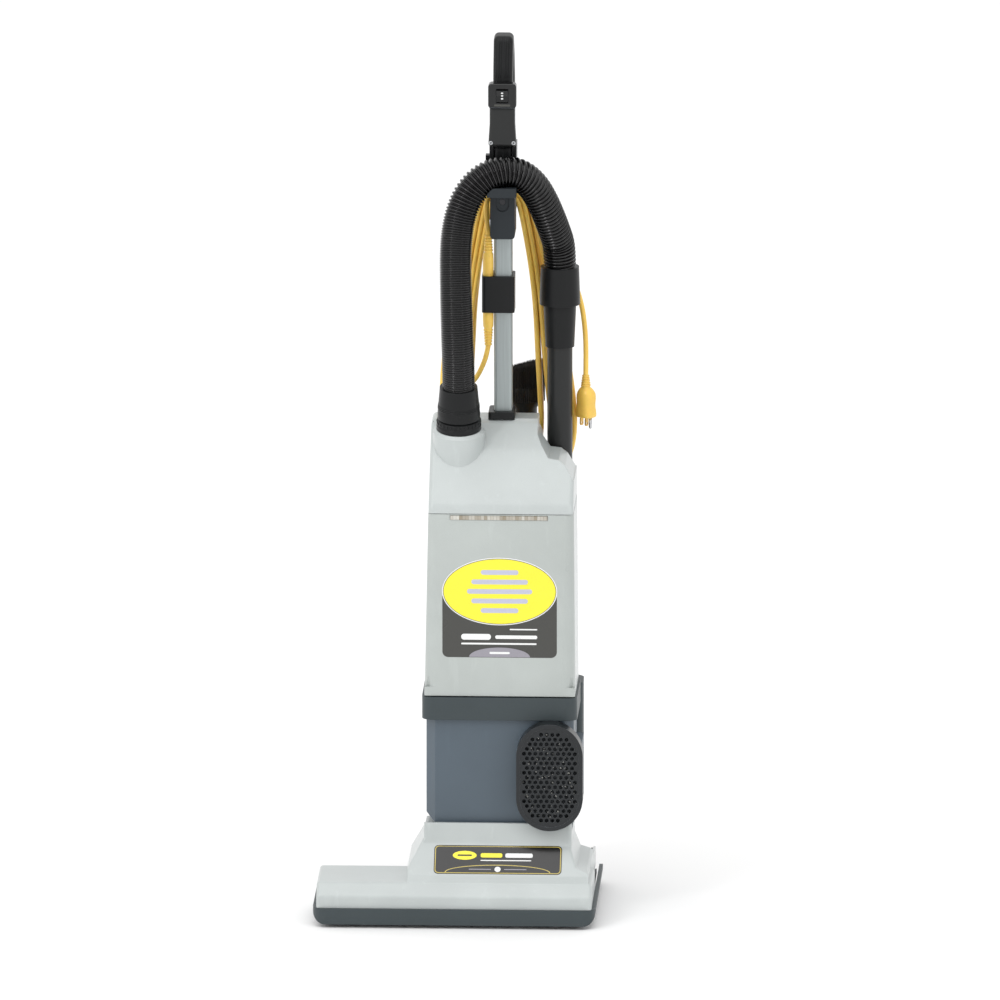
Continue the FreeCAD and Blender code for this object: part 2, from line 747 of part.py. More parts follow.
def make_motor_housing():
    """Front and rear slate casings round the suction motor, open at the top."""
    front = prism(
        "XY",
        [("body_left", "0"), ("body_left", "-58", "3"), ("body_left + 13", "-75", "3"),
         ("body_right - 12", "-75", "8"), ("body_right", "-62", "8"), ("body_right", "0")],
        "housing_low",
        "waist_low",
    )
    pocket(
        front,
        "XZ",
        [("body_left - 2", "housing_low - 1"), ("body_left + 14", "housing_low - 1"),
         ("body_left - 2", "housing_low + 15")],
        "-80",
        "1",
    )
    pocket(
        front,
        "XY",
        [("body_left + wall", "1"), ("body_left + wall", "-57"), ("body_left + 14.3", "-72"),
         ("body_right - 13", "-72"), ("body_right - wall", "-61"), ("body_right - wall", "1")],
        "housing_low + wall + 12",
        "waist_low + 1",
    )
    rim = "grille_radius - 2"
    oval = cut(stadium(rim, "-95", "-74"), stadium("grille_radius - 5", "-96", "-75.2"))
    cheek = block(("body_right - 1", "grille_x + grille_radius - 2"), ("-76", "-18"), ("160", "246"))
    outlet = block(("grille_x - 30", "grille_x + 20"), ("-77", "-70"), ("170", "235"))
    keep("motor_housing_front", cut(fuse(front, oval, cheek), outlet))
    rear = prism(
        "XY",
        [("body_left", "0.1"), ("body_left", "65", "12"), ("channel_x - 4", "65", "4"),
         ("channel_x - 4", "channel_y - 3"), ("body_right", "channel_y - 3", "4"),
         ("body_right", "0.1")],
        "housing_low",
        "waist_low",
    )
    pocket(
        rear,
        "XY",
        [("body_left + wall", "0"), ("body_left + wall", "62"), ("channel_x - 7", "62"),
         ("channel_x - 7", "channel_y - 6"), ("body_right - wall", "channel_y - 6"),
         ("body_right - wall", "0")],
        "housing_low + wall",
        "waist_low + 1",
    )
    air = rod("z", "14", "housing_low - 1", "housing_low + 5", "neck_left + 30", "pivot_y - 16")
    keep("motor_housing_rear", cut(rear, air, *[rod("y", "2.1", "60", "66", x, z) for x, z in SCREWS]))


def make_suction_motor():
    """Suction motor, its impeller and the filter above."""
    can = rod("z", "44", "146", "222", "52", "-14")
    bore = rod("z", "spindle_radius + 0.05", "200", "230", "52", "-14")
    keep("suction_motor", cut(can, bore))
    disc = rod("z", "48", "232", "244", "52", "-14")
    shaft = rod("z", "spindle_radius", "204", "244", "52", "-14")
    keep("impeller", fuse(disc, shaft))
    keep("premotor_filter", block(("4", "100"), ("-60", "34"), ("256", "272")))


def make_exhaust():
    """Exhaust filter in its oval seat, and the perforated cap over it."""
    keep("exhaust_filter", stadium("grille_radius - 6", "-94", "-78"))
    shell = stadium("grille_radius", "grille_front", "-84")
    inside = stadium("grille_radius - 1.7", "grille_front + wall", "-83")
    face = stadium("grille_radius - 5.5", "grille_front - 1", "grille_front + 1.2")
    keep("exhaust_grille", cut(shell, inside, face, grille_holes()))


def grille_holes():
    """Hexagonal holes in offset rows that fill the oval."""
    pitch = size("hole_pitch")
    radius = size("hole_radius")
    reach = size("grille_radius - 7.5") - radius
    rise = size("grille_rise")
    middle = Vector(size("grille_x"), size("grille_front") - 2, size("grille_z"))
    row_step = pitch * math.sqrt(3) / 2
    rows = int((reach + rise) / row_step)
    prisms = []
    for row in range(-rows, rows + 1):
        up = row * row_step
        overshoot = max(0, abs(up) - rise)
        half = math.sqrt(max(0, reach**2 - overshoot**2))
        shift = pitch / 2 if row % 2 else 0
        for column in range(-7, 8):
            across = column * pitch + shift
            if abs(across) > half:
                continue
            corners = [
                middle + Vector(
                    across + radius * math.sin(math.radians(turn)),
                    0,
                    up + radius * math.cos(math.radians(turn)),
                )
                for turn in range(0, 361, 60)
            ]
            prisms.append(Part.Face(Part.makePolygon(corners)).extrude(Vector(0, 10, 0)))
    holes = doc.addObject("Part::Feature", "Holes")
    holes.Shape = Part.makeCompound(prisms)
    return holes


def make_waist_band():
    """Dark band between the motor housing and the bag chamber, with its floor."""
    body = prism(
        "XY",
        [("body_left - 5.5", "-83", "15"), ("body_right + 5", "-83", "15"),
         ("body_right + 5", "channel_y - 2", "4"), ("channel_x - 2", "channel_y - 2"),
         ("channel_x - 2", "body_rear + 2", "4"), ("body_left - 5.5", "body_rear + 2", "15")],
        "waist_low",
        "waist_top",
    )
    inner = prism(
        "XY",
        [("body_left", "-77.5"), ("body_right", "-77.5"), ("body_right", "channel_y - 5"),
         ("channel_x - 5", "channel_y - 5"), ("channel_x - 5", "body_rear - 2"),
         ("body_left", "body_rear - 2")],
        "waist_low + 8",
        "waist_top + 1",
    )
    airway = rod("z", "30", "waist_low - 1", "waist_low + 9", "52", "-14")
    keep("waist_band", cut(body, inner, airway))


def side_wedges(body, front, rear):
    """Trim both sides of a shell so that it narrows upwards."""
    for edge, out in (("body_left - 2", "body_left - 6"), ("body_right + 2", "body_right + 6")):
        inward = "+ 5.5" if "left" in edge else "- 2"
        pocket(
            body,
            "XZ",
            [(edge, "waist_top"), (f"{edge} {inward}", "door_top + 1"), (out, "door_top + 1"),
             (out, "waist_top")],
            front,
            rear,
        )


def make_bag_housing():
    """Rear shell of the bag chamber, with the channel for the wand."""
    body = prism(
        "XY",
        [("body_left - 2", "door_back + gap"), ("body_right + 2", "door_back + gap"),
         ("body_right + 2", "channel_y"), ("channel_x", "channel_y", "4"),
         ("channel_x", "body_rear", "4"), ("body_left - 2", "body_rear", "16")],
        "waist_top",
        "door_top",
    )
    side_wedges(body, "door_back - 1", "body_rear + 1")
    pocket(
        body,
        "XY",
        [("body_left + 7", "door_back - 1"), ("body_right - 5", "door_back - 1"),
         ("body_right - 5", "channel_y - wall"), ("channel_x - wall", "channel_y - wall"),
         ("channel_x - wall", "body_rear - wall"), ("body_left + 7", "body_rear - wall")],
        "waist_top - 1",
        "door_top + 1",
    )
    keep("bag_housing", body)


def make_bag_door():
    """Front door of the bag chamber, hinged along its lower edge."""
    body = prism(
        "XY",
        [("body_left - 2", "door_back"), ("body_left - 2", "body_front", "17"),
         ("body_right + 2", "body_front", "17"), ("body_right + 2", "door_back")],
        "waist_top + 1.5",
        "door_top - gap",
    )
    side_wedges(body, "body_front - 1", "door_back + 1")
    pocket(
        body,
        "XY",
        [("body_left + 7", "door_back + 1"), ("body_left + 7", "body_front + 14"),
         ("body_left + 16", "body_front + wall"), ("body_right - 16", "body_front + wall"),
         ("body_right - 5", "body_front + 14"), ("body_right - 5", "door_back + 1")],
        "waist_top",
        "door_top - 4",
    )
    pocket(
        body,
        "XZ",
        [("-8.5", "door_top - 8.2"), ("126.5", "door_top - 8.2"), ("126.5", "door_top - 1.8"),
         ("-8.5", "door_top - 1.8")],
        "body_front - 1",
        "body_front + 9",
    )
    knuckles = [
        rod("x", "2.6", low, high, "body_front + 2.6", "waist_top + 4.6")
        for low, high in (("body_left + 20", "body_left + 40"), ("body_right - 40", "body_right - 20"))
    ]
    feet = []
    scoops = []
    for edge, inward in (("body_left - 2", 1), ("body_right + 2", -1)):
        feet.append(
            prism(
                "XY",
                [(edge, "body_front + 17"), (edge, "body_front", "4"),
                 (f"{edge} + {17 * inward}", "body_front")],
                "waist_top + 1.5",
                "waist_top + 14",
            )
        )
        scoops.append(
            lathe(
                [("0", "0"), ("3.4", "4"), ("3.6", "9"), ("2.4", "17"), ("0", "24")],
                (f"{edge} + {4 * inward}", "body_front + 4", "waist_top + 9"),
            )
        )
    keep("bag_door", cut(fuse(body, *feet, *knuckles), *scoops))
    grip = block(("-8", "126"), ("body_front - 1", "body_front + 5"), ("door_top - 7.8", "door_top - 2.2"))
    keep("door_latch", grip)
    rim = prism(
        "XZ",
        [("body_left + 7.2", "waist_top + 2"), ("body_right - 5.2", "waist_top + 2"),
         ("body_right - 5.2", "door_top - 5"), ("body_left + 7.2", "door_top - 5")],
        "door_back + 1",
        "door_back + 5",
    )
    window = block(
        ("body_left + 12", "body_right - 10"), ("door_back - 5", "door_back + 10"),
        ("waist_top + 6", "door_top - 9"),
    )
    keep("door_seal", cut(rim, window))


def make_filter_bag():
    """Paper bag with its card collar, hung from the inlet."""
    bag = prism(
        "XZ",
        [("-20", "330", "18"), ("100", "330", "18"), ("100", "560", "18"), ("-20", "560", "18")],
        "-30",
        "40",
    )
    round_edges(bag, "14", flat_rim("y", "-30"))
    collar = block(("-18", "62"), ("-26", "36"), ("559", "564"))
    keep("filter_bag", cut(fuse(bag, collar), rod("z", "20", "545", "570", "22", "5")))


def make_upper_cover():
    """Sloping top of the body, with the hose port and the step that clears the wand."""
    body = prism(
        "YZ",
        [("body_front", "door_top + gap"), ("body_front", "door_top + 10", "26"),
         ("-24", "644", "60"), ("20", "cover_top", "26"), ("body_rear", "cover_top", "8"),
         ("body_rear", "door_top + gap")],
        "body_left + 3.5",
        "body_right - 0.5",
    )

    def side_edge(edge):
        box = edge.BoundBox
        flat = box.XLength < 1e-4
        rests = box.ZMax < size("door_top") + 1
        behind = box.YMin > size("body_rear") - 1
        return flat and not rests and not behind

    round_edges(body, "7", side_edge)
    pocket(
        body,
        "XZ",
        [("channel_x - 5", "cover_top + 5"), ("channel_x - 5", "cover_top - 16"),
         ("channel_x + 1", "cover_top - 28"), ("channel_x + 11", "cover_top - 43"),
         ("channel_x + 26", "cover_top - 45"), ("channel_x + 35", "cover_top - 52"),
         ("channel_x + 46", "cover_top - 70"), ("channel_x + 60", "cover_top - 72"),
         ("channel_x + 60", "cover_top + 5")],
        "-70",
        "body_rear + 5",
    )
    pocket(
        body,
        "XY",
        [("channel_x", "channel_y"), ("body_right + 5", "channel_y"),
         ("body_right + 5", "body_rear + 5"), ("channel_x", "body_rear + 5")],
        "door_top - 5",
        "cover_top + 5",
    )
    hollow = prism(
        "YZ",
        [("body_front + wall", "door_top - 5"), ("body_front + wall", "door_top + 8"),
         ("-22", "640"), ("19", "cover_top - wall"), ("body_rear - wall", "cover_top - wall"),
         ("body_rear - wall", "door_top - 5")],
        "body_left + 6.5",
        "channel_x - 9",
    )
    side_hollow = prism(
        "YZ",
        [("body_front + wall", "door_top - 5"), ("body_front + wall", "door_top + 8"),
         ("-50", "608"), ("channel_y - wall", "608"), ("channel_y - wall", "door_top - 5")],
        "channel_x - 9.5",
        "body_right - 3.5",
    )
    lean = Rotation(Vector(1, 0, 0), size("hose_lean"))
    place = ("hose_x", "hose_y", "hose_z")
    boss = lathe([("0", "-60"), ("36", "-60"), ("36", "-4"), ("32", "0"), ("0", "0")], place, lean)
    port = lathe([("0", "-90"), ("24", "-90"), ("24", "10"), ("0", "10")], place, lean)
    socket = block(
        ("body_middle - tube_wide/2 - 0.1", "body_middle + tube_wide/2 + 0.1"),
        ("tube_y - tube_deep/2 - 0.1", "tube_y + tube_deep/2 + 0.1"),
        ("cover_top - 60", "cover_top + 5"),
    )
    seat = lathe([("0", "0.05"), ("33", "0.05"), ("33", "40"), ("0", "40")], place, lean)
    keep("upper_cover", cut(fuse(cut(body, hollow, side_hollow), boss), port, seat, socket))


# ---------------------------------------------------------------- handle

def make_handle_tube():
    """Aluminium tube, rounded rectangle in section, and the collar at its foot."""
    def section(inset, low, high):
        x = f"tube_wide/2 - {inset}"
        y = f"tube_deep/2 - {inset}"
        radius = str(5 - float(inset))
        return prism(
            "XY",
            [(f"body_middle - ({x})", f"tube_y - ({y})", radius),
             (f"body_middle + ({x})", f"tube_y - ({y})", radius),
             (f"body_middle + ({x})", f"tube_y + ({y})", radius),
             (f"body_middle - ({x})", f"tube_y + ({y})", radius)],
            low,
            high,
        )

    tube = cut(
        section("0", "cover_top - 56", "handle_low + 26"),
        section("2", "cover_top - 60", "handle_low + 30"),
    )
    keep("handle_tube", tube)
    collar = prism(
        "XY",
        [("body_middle - 20", "19", "4"), ("body_middle + 16.5", "19", "4"),
         ("body_middle + 16.5", "66", "4"), ("body_middle - 20", "66", "4")],
        "cover_top",
        "cover_top + 10",
    )
    round_edges(collar, "2", flat_rim("z", "cover_top + 10"))
    keep("tube_collar", cut(collar, tube_hole()))


def tube_hole():
    """The space of the handle tube, with a sliding fit."""
    return block(
        ("body_middle - tube_wide/2 - 0.1", "body_middle + tube_wide/2 + 0.1"),
        ("tube_y - tube_deep/2 - 0.1", "tube_y + tube_deep/2 + 0.1"),
        ("cover_top - 60", "handle_low + 26.5"),
    )


def cord_gland():
    """Tapered strain relief under the handle's left half, where the cord comes out."""
    return lathe(
        [("0", "handle_low + 1"), ("5.4", "handle_low + 1"), ("4.2", "handle_low - 22"),
         ("0", "handle_low - 22")],
        ("41.5", "38.5", "0"),
    )


def make_cord_saddle():
    """Bracket on the tube: cradle for the hose in front, cord hook behind."""
    half = "body_middle"
    body = prism(
        "XZ",
        [(f"{half} - 17", "saddle_low", "5"), (f"{half} + 17", "saddle_low", "5"),
         (f"{half} + 17", "saddle_top"), (f"{half} - 17", "saddle_top")],
        "12",
        "64",
    )
    cap = block((f"{half} - 20", f"{half} + 20"), ("-18", "28"), ("saddle_top - 1", "1014"))
    recess = fuse(
        block((f"{half} - 9", f"{half} + 9"), ("11", "14"), ("984", "saddle_top - 2")),
        rod("y", "9", "11", "14", half, "984"),
    )
    screw_seat = rod("y", "4.2", "12", "22", half, "988")
    cradle = tube_solid(size("hose_width + 2*gap"), hose_route())[0]
    post = rod("y", "cord_hook_radius", "63", "hank_back + 2", half, "cord_hook_z")
    lip = prism(
        "XZ",
        [(f"{half} - 14", "cord_hook_z - 10", "6"), (f"{half} + 14", "cord_hook_z - 10", "6"),
         (f"{half} + 14", "cord_hook_z + 48", "8"), (f"{half} - 14", "cord_hook_z + 48", "8")],
        "hank_back + 1",
        "hank_back + 6",
    )
    keep("cord_saddle", cut(fuse(body, cap, post, lip), recess, screw_seat, cradle, tube_hole()))


def make_handle():
    """Loop handle in two halves, its front cover and the switch."""
    loop = [
        ("27.5", "handle_low"), ("66", "handle_low", "9"), ("80", "1064", "18"), ("112", "1094", "26"),
        ("121", "1132", "30"), ("104", "1184", "34"), ("72", "1216.5", "16"), ("44", "1214.5", "12"),
        ("26", "1172", "40"), ("20", "1120", "20"), ("20", "1068"), ("27.5", "1060"),
    ]
    hole = [
        ("52", "1100", "9"), ("80", "1088", "9"), ("97", "1112", "12"), ("90", "1158", "20"),
        ("66", "1189", "8"), ("56", "1181", "6"), ("47", "1140", "20"),
    ]
    for side, low, high, outer, foot in (
        ("left", "body_middle - grip_half", "body_middle - 0.02", "body_middle - grip_half",
         ("body_middle - 18.5", "body_middle - 13")),
        ("right", "body_middle + 0.02", "body_middle + grip_half", "body_middle + grip_half",
         ("body_middle + 13", "body_middle + 18.5")),
    ):
        half = prism("YZ", loop, low, high)
        pocket(half, "YZ", hole, low, high)
        round_edges(half, "7", flat_rim("x", outer))
        ear = prism(
            "XY",
            [(foot[0], "27.5"), (foot[1], "27.5"), (foot[1], "64"), (foot[0], "64")],
            "handle_low",
            "handle_low + 26",
        )
        pieces = [half, ear]
        if side == "left":
            pieces.append(block(("36", "48"), ("32", "45"), ("handle_low", "handle_low + 10")))
            pieces.append(cord_gland())
        keep(f"handle_{side}", cut(fuse(*pieces), tube_hole()))

    shroud = prism(
        "XZ",
        [("body_middle - 19.5", "1068", "4"), ("body_middle + 19.5", "1068", "4"),
         ("body_middle + 17.5", "1100"), ("body_middle + 17.5", "1123"),
         ("body_middle - 17.5", "1123"), ("body_middle - 17.5", "1100")],
        "5",
        "19.8",
    )
    round_edges(shroud, "5", flat_rim("y", "5"))
    eyelets = [rod("y", "2", "0", "30", f"body_middle + {side}*15.6", "1073.5") for side in (-1, 1)]
    keep("handle_shroud", cut(shroud, *eyelets))
    case = prism(
        "XZ",
        [("body_middle - 19.5", "1123.5", "3"), ("body_middle + 19.5", "1123.5", "3"),
         ("body_middle + 19.5", "1157", "5"), ("body_middle - 19.5", "1157", "5")],
        "3",
        "19.8",
    )
    round_edges(case, "2.5", flat_rim("y", "3"))
    seat = block(("body_middle - 8.4", "body_middle + 8.4"), ("2", "13"), ("1130", "1150"))
    bearings = rod("x", "2.05", "body_middle - 9.4", "body_middle + 9.4", "10", "1140")
    keep("switch_housing", cut(case, seat, bearings))
    rocker = prism(
        "YZ",
        [("1.2", "1132"), ("3.4", "1140"), ("0.6", "1148"), ("9", "1147"), ("10", "1140"), ("9", "1133")],
        "body_middle - 8",
        "body_middle + 8",
    )
    trunnions = rod("x", "2", "body_middle - 9", "body_middle + 9", "10", "1140")
    keep("switch_rocker", fuse(rocker, trunnions))


# ---------------------------------------------------------------- hose, wand and tools

def hose_route():
    """Middle line of the hose: up from the leaning port, over the saddle, down to the wand."""
    lean = Rotation(Vector(1, 0, 0), size("hose_lean"))
    foot = Vector(size("hose_x"), size("hose_y"), size("hose_z")) + lean.multVec(Vector(0, 0, 62))
    return [
        (foot.x, foot.y, foot.z), (1, -28.2, 766), (-0.5, -30.5, 806), (-2, -28.5, 848),
        (-3, -24, 888), (-3.5, -18, 925), (-1, -12.5, 957), (5.5, -8.5, 984), (17, -5, 1007.5),
        (35, -1.5, 1025.5), (59, 3, 1033.5), (82, 8, 1030.5), (101.5, 16, 1013),
        (114, 26, 989), (123.5, 38, 963), (131, 52, 938), ("wand_x", 66, 914.5),
        ("wand_x", "wand_y + 0.6", "cuff_top - 4"),
    ]


def make_hose():
    """Hose with its cuffs, the twist lock and the wand in its socket."""
    lean = Rotation(Vector(1, 0, 0), size("hose_lean"))
    place = ("hose_x", "hose_y", "hose_z")
    lock = lathe(
        [("26.6", "0.4"), ("31", "0.4"), ("31", "6"), ("30", "8"), ("30", "14"), ("26.6", "16")],
        place,
        lean,
    )
    keep("hose_lock_ring", lock)
    cuff = lathe(
        [("0", "-30"), ("23.4", "-30"), ("23.4", "0"), ("26.2", "0"), ("26.2", "17"), ("29.4", "17"),
         ("29.4", "24"), ("26", "62"), ("0", "62")],
        place,
        lean,
    )
    keep("hose_cuff", cuff)
    hose, length, radii = tube_solid(size("hose_width"), hose_route())
    print(f"suction_hose: {length:.0f} mm long, radii {radii}")
    below = block(("wand_x - 40", "wand_x + 40"), ("wand_y - 40", "wand_y + 40"), ("840", "cuff_top"))
    keep("suction_hose", cut(hose, below))
    axis = ("wand_x", "wand_y", "0")
    upper = lathe(
        [("0", "wand_top + 3"), ("28", "wand_top + 3"), ("28", "wand_top + 12"),
         ("26.5", "cuff_top - 0.1"), ("0", "cuff_top - 0.1")],
        axis,
    )
    grip = lathe(
        [("wand_radius", "wand_top - 57"), ("20", "wand_top - 57"), ("22.3", "wand_top - 6"),
         ("22.3", "wand_top + 4"), ("wand_radius", "wand_top + 4")],
        axis,
    )
    keep("wand_cuff", fuse(upper, grip))
    tube = ring("z", "wand_radius", "wand_radius - 1.8", "wand_low", "wand_top", "wand_x", "wand_y")
    keep("wand", tube)
    cup = prism(
        "XY",
        [("channel_x - 1", "channel_y - 1"), ("body_right + 8", "channel_y - 1", "8"),
         ("body_right + 8", "98", "16"), ("channel_x - 1", "98", "16")],
        "216",
        "301",
    )
    keep(
        "wand_socket",
        cut(
            cup,
            rod("z", "wand_radius + gap", "wand_low - gap", "310", "wand_x", "wand_y"),
            block(("channel_x - 5", "body_right + 9"), ("0", "channel_y - 0.5"), ("275", "310")),
        ),
    )


def make_tools():
    """Crevice tool and dusting brush with the rack that carries them."""
    neck = rod("z", "18.5", "tool_top - 44", "tool_top", "tool_x", "tool_y")
    blade = prism(
        "XZ",
        [("tool_x - 9", "tool_low"), ("tool_x + 9", "tool_low"), ("tool_x + 17", "tool_top - 46"),
         ("tool_x + 17", "tool_top - 42"), ("tool_x - 17", "tool_top - 42"),
         ("tool_x - 17", "tool_top - 46")],
        "tool_y - 9",
        "tool_y + 9",
    )
    slot = block(
        ("tool_x - 6", "tool_x + 6"),
        ("tool_y - 6.5", "tool_y + 6.5"),
        ("tool_low - 1", "tool_top - 38"),
    )
    bore = rod("z", "16", "tool_top - 38", "tool_top + 1", "tool_x", "tool_y")
    keep("crevice_tool", cut(fuse(neck, blade), slot, bore))

    plate = block(("tool_x - 24", "tool_x + 24"), ("body_rear", "tool_y - 18.6"), ("472", "492"))
    jaws = [
        block((left, right), ("body_rear", "tool_y + 3"), ("472", "492"))
        for left, right in (("tool_x - 24", "tool_x - 19.5"), ("tool_x + 19.5", "tool_x + 24"))
    ]
    shelf = block(
        ("tool_x - 16", "tool_x + 16"),
        ("body_rear", "tool_y + 13"),
        ("tool_low - 7", "tool_low - 0.4"),
    )
    arm = fuse(
        rod("z", "14", "634", "690", "brush_x", "brush_y"),
        block(("brush_x - 6", "brush_x + 6"), ("body_rear", "brush_y"), ("634", "644")),
    )
    keep("tool_holder", group(fuse(plate, *jaws), shelf, arm))
    cup = cut(
        prism(
            "XY",
            [("brush_x - 27", "brush_y - 17.5", "16"), ("brush_x + 27", "brush_y - 17.5", "16"),
             ("brush_x + 27", "brush_y + 17.5", "16"), ("brush_x - 27", "brush_y + 17.5", "16")],
            "672",
            "698",
        ),
        rod("z", "14.4", "640", "694", "brush_x", "brush_y"),
    )
    neck = ring("z", "16.5", "14.4", "645", "673", "brush_x", "brush_y")
    tuft = prism(
        "XZ",
        [("brush_x - 25", "697.5"), ("brush_x + 25", "697.5"), ("brush_x + 27", "738"),
         ("brush_x - 27", "724")],
        "brush_y - 16",
        "brush_y + 16",
    )
    keep("dusting_brush", fuse(cup, neck, tuft))


def make_lower_hook():
    """Swivelling hook that lets the whole hank drop off when it is turned up."""
    post = rod("y", "low_hook_radius", "body_rear + gap", "hank_back + 8", "body_middle", "low_hook_z")
    prong = prism(
        "XZ",
        [("body_middle - 10", "low_hook_z - 42", "8"), ("body_middle + 10", "low_hook_z - 42", "8"),
         ("body_middle + 12", "low_hook_z + 12", "8"), ("body_middle - 12", "low_hook_z + 12", "8")],
        "hank_back + 2",
        "hank_back + 8",
    )
    keep("lower_cord_hook", fuse(post, prong))


def make_screws():
    """Screws of the rear casing, and the one in the recess of the hose saddle."""
    rear = [
        fuse(rod("y", "4.5", "65.05", "67.4", x, z), rod("y", "2", "60", "66", x, z))
        for x, z in SCREWS
    ]
    saddle = fuse(
        rod("y", "4", "14.05", "17", "body_middle", "988"),
        rod("y", "2.2", "16", "22", "body_middle", "988"),
    )
    keep("casing_screws", group(saddle, *rear))


# ---------------------------------------------------------------- cord

def make_cord():
    """Detachable mains cord: coupler on the tube, lead, hank on the hooks, and the plug."""
    clip = prism(
        "XY",
        [("31", "24", "5"), ("76", "24", "5"), ("76", "66", "5"), ("31", "66", "5")],
        "829",
        "880",
    )
    passage = rod("z", "7.6", "820", "890", "coupler_x", "coupler_y")
    keep("connector_clip", cut(clip, passage, tube_hole()))
    lower_half = lathe(
        [("0", "781"), ("4.2", "781"), ("6", "800"), ("7.5", "826"), ("7.5", "856"), ("0", "856")],
        ("coupler_x", "coupler_y", "0"),
    )
    upper_half = lathe(
        [("0", "856.1"), ("7.5", "856.1"), ("7.5", "890"), ("6", "915"), ("4.2", "937"), ("0", "937")],
        ("coupler_x", "coupler_y", "0"),
    )
    keep("mains_coupler", group(lower_half, upper_half))
    cord = size("cord_width")
    soft_tube(
        "pigtail_cord",
        cord,
        [("41.5", "38.5", "handle_low - 22"), (39, 38.5, 998), (36.5, 37.5, 972),
         ("coupler_x", "coupler_y", 937)],
    )
    soft_tube(
        "cord_lead",
        cord,
        [("coupler_x", "coupler_y", 781), (38, 35.5, 765), (32, 39, 749), (23, 47.5, 735),
         (14, 61, 726), (8.5, 79, 721), (6, 100, 716)],
    )
    band = teardrop(37, 97, size("cord_hook_z"), 640).cut(
        teardrop(size("cord_hook_radius + 0.3"), 60, size("cord_hook_z"), 640)
    )
    hank = doc.addObject("Part::Feature", "Hank")
    band.translate(Vector(0, size("hank_front"), 0))
    hank.Shape = band.extrude(Vector(0, size("hank_back - hank_front"), 0))
    keep("cord_hank", hank)
    soft_tube(
        "plug_lead",
        cord,
        [(92, 112, 906), (115, 114, 899), (137, 111.5, 882), (155, 104, 858), (166, 96.5, 828),
         (171, 91.5, 794), (172.5, 90, 760), ("plug_x", "plug_y", 728)],
    )
    relief = lathe(
        [("0", "712"), ("6.5", "712"), ("4", "728"), ("0", "728")], ("plug_x", "plug_y", "0")
    )
    face = prism(
        "XZ",
        [("plug_x - 13", "669", "3"), ("plug_x + 15", "669", "3"), ("plug_x + 15", "689", "8"),
         ("plug_x + 7", "711", "5"), ("plug_x - 9", "711", "5"), ("plug_x - 12", "691")],
        "plug_y - 12",
        "plug_y + 12",
    )
    blades = [
        block(
            (f"plug_x + {across} - 0.75", f"plug_x + {across} + 0.75"),
            ("plug_y - 6.5", "plug_y - 0.5"),
            ("655.5", "669.5"),
        )
        for across in (-5.35, 7.35)
    ]
    ground = rod("z", "2.4", "652.5", "669.5", "plug_x + 1", "plug_y + 6")
    keep("cord_plug", fuse(relief, face, *blades, ground))


make_nozzle_cover()
make_bumper()
make_base()
make_pivot_clamps()
make_sole_plate()
make_brush_roll()
make_brush_drive()
make_wheels()
make_pedal()
make_inlet_duct()
make_pivot_neck()
make_motor_housing()
make_suction_motor()
make_exhaust()
make_waist_band()
make_bag_housing()
make_bag_door()
make_filter_bag()
make_upper_cover()
make_handle_tube()
make_cord_saddle()
make_handle()
make_hose()
make_tools()
make_lower_hook()
make_screws()
make_cord()
doc.recompute()

for thing in doc.Objects:
    if "Invalid" in thing.State or "Error" in thing.State:
        raise ValueError(f"{thing.Name} ({thing.Label}) failed")
os.makedirs("parts", exist_ok=True)
for label, thing in nodes.items():
    shape = thing.Shape
    if shape.isNull() or not shape.isValid() or not shape.Solids:
        raise ValueError(f"{label} has no valid solid")
    shape.exportStep(f"parts/{label}.step")
print(f"{len(nodes)} sub-parts")
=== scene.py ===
"""Looks of an upright vacuum cleaner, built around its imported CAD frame.

Everything is in metres, in the frame's own coordinates: X to the right as seen from the front, Y back, Z up.
"""

import json
import math
import random

import bpy
from mathutils import Matrix, Vector
from mathutils.bvhtree import BVHTree
from mathutils.geometry import intersect_line_line_2d

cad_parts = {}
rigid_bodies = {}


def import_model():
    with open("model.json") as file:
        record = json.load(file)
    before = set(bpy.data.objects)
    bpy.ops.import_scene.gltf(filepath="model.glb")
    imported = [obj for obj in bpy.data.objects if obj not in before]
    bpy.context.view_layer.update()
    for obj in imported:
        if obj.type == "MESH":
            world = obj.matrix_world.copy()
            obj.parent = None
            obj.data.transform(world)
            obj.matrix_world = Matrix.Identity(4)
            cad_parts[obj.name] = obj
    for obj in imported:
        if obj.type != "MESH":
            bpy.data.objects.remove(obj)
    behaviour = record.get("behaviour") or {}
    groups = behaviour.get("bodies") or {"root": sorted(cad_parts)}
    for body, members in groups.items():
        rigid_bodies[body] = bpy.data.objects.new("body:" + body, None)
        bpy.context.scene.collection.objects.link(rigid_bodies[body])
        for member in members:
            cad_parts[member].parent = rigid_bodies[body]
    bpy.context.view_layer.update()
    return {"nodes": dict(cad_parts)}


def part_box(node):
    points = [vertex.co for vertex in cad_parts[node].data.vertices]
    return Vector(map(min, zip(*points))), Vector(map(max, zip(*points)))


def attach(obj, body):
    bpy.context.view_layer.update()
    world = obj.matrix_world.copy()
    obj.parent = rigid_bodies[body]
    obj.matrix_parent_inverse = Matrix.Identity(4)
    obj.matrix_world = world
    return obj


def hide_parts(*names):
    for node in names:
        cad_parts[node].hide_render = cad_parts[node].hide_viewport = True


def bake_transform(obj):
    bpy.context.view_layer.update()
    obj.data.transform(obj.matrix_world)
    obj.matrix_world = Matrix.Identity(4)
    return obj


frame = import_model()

NODES = frame["nodes"]
MM = 0.001
CORD_WIDTH = 0.007
HOSE_WIDTH = 0.045


# ---- materials


def srgb(red, green, blue):
    """A colour given as it looks on a screen, 0 to 255, as the linear RGBA that shaders take."""
    linear = []
    for value in (red, green, blue):
        share = value / 255
        linear.append(share / 12.92 if share <= 0.04045 else ((share + 0.055) / 1.055) ** 2.4)
    return (*linear, 1.0)


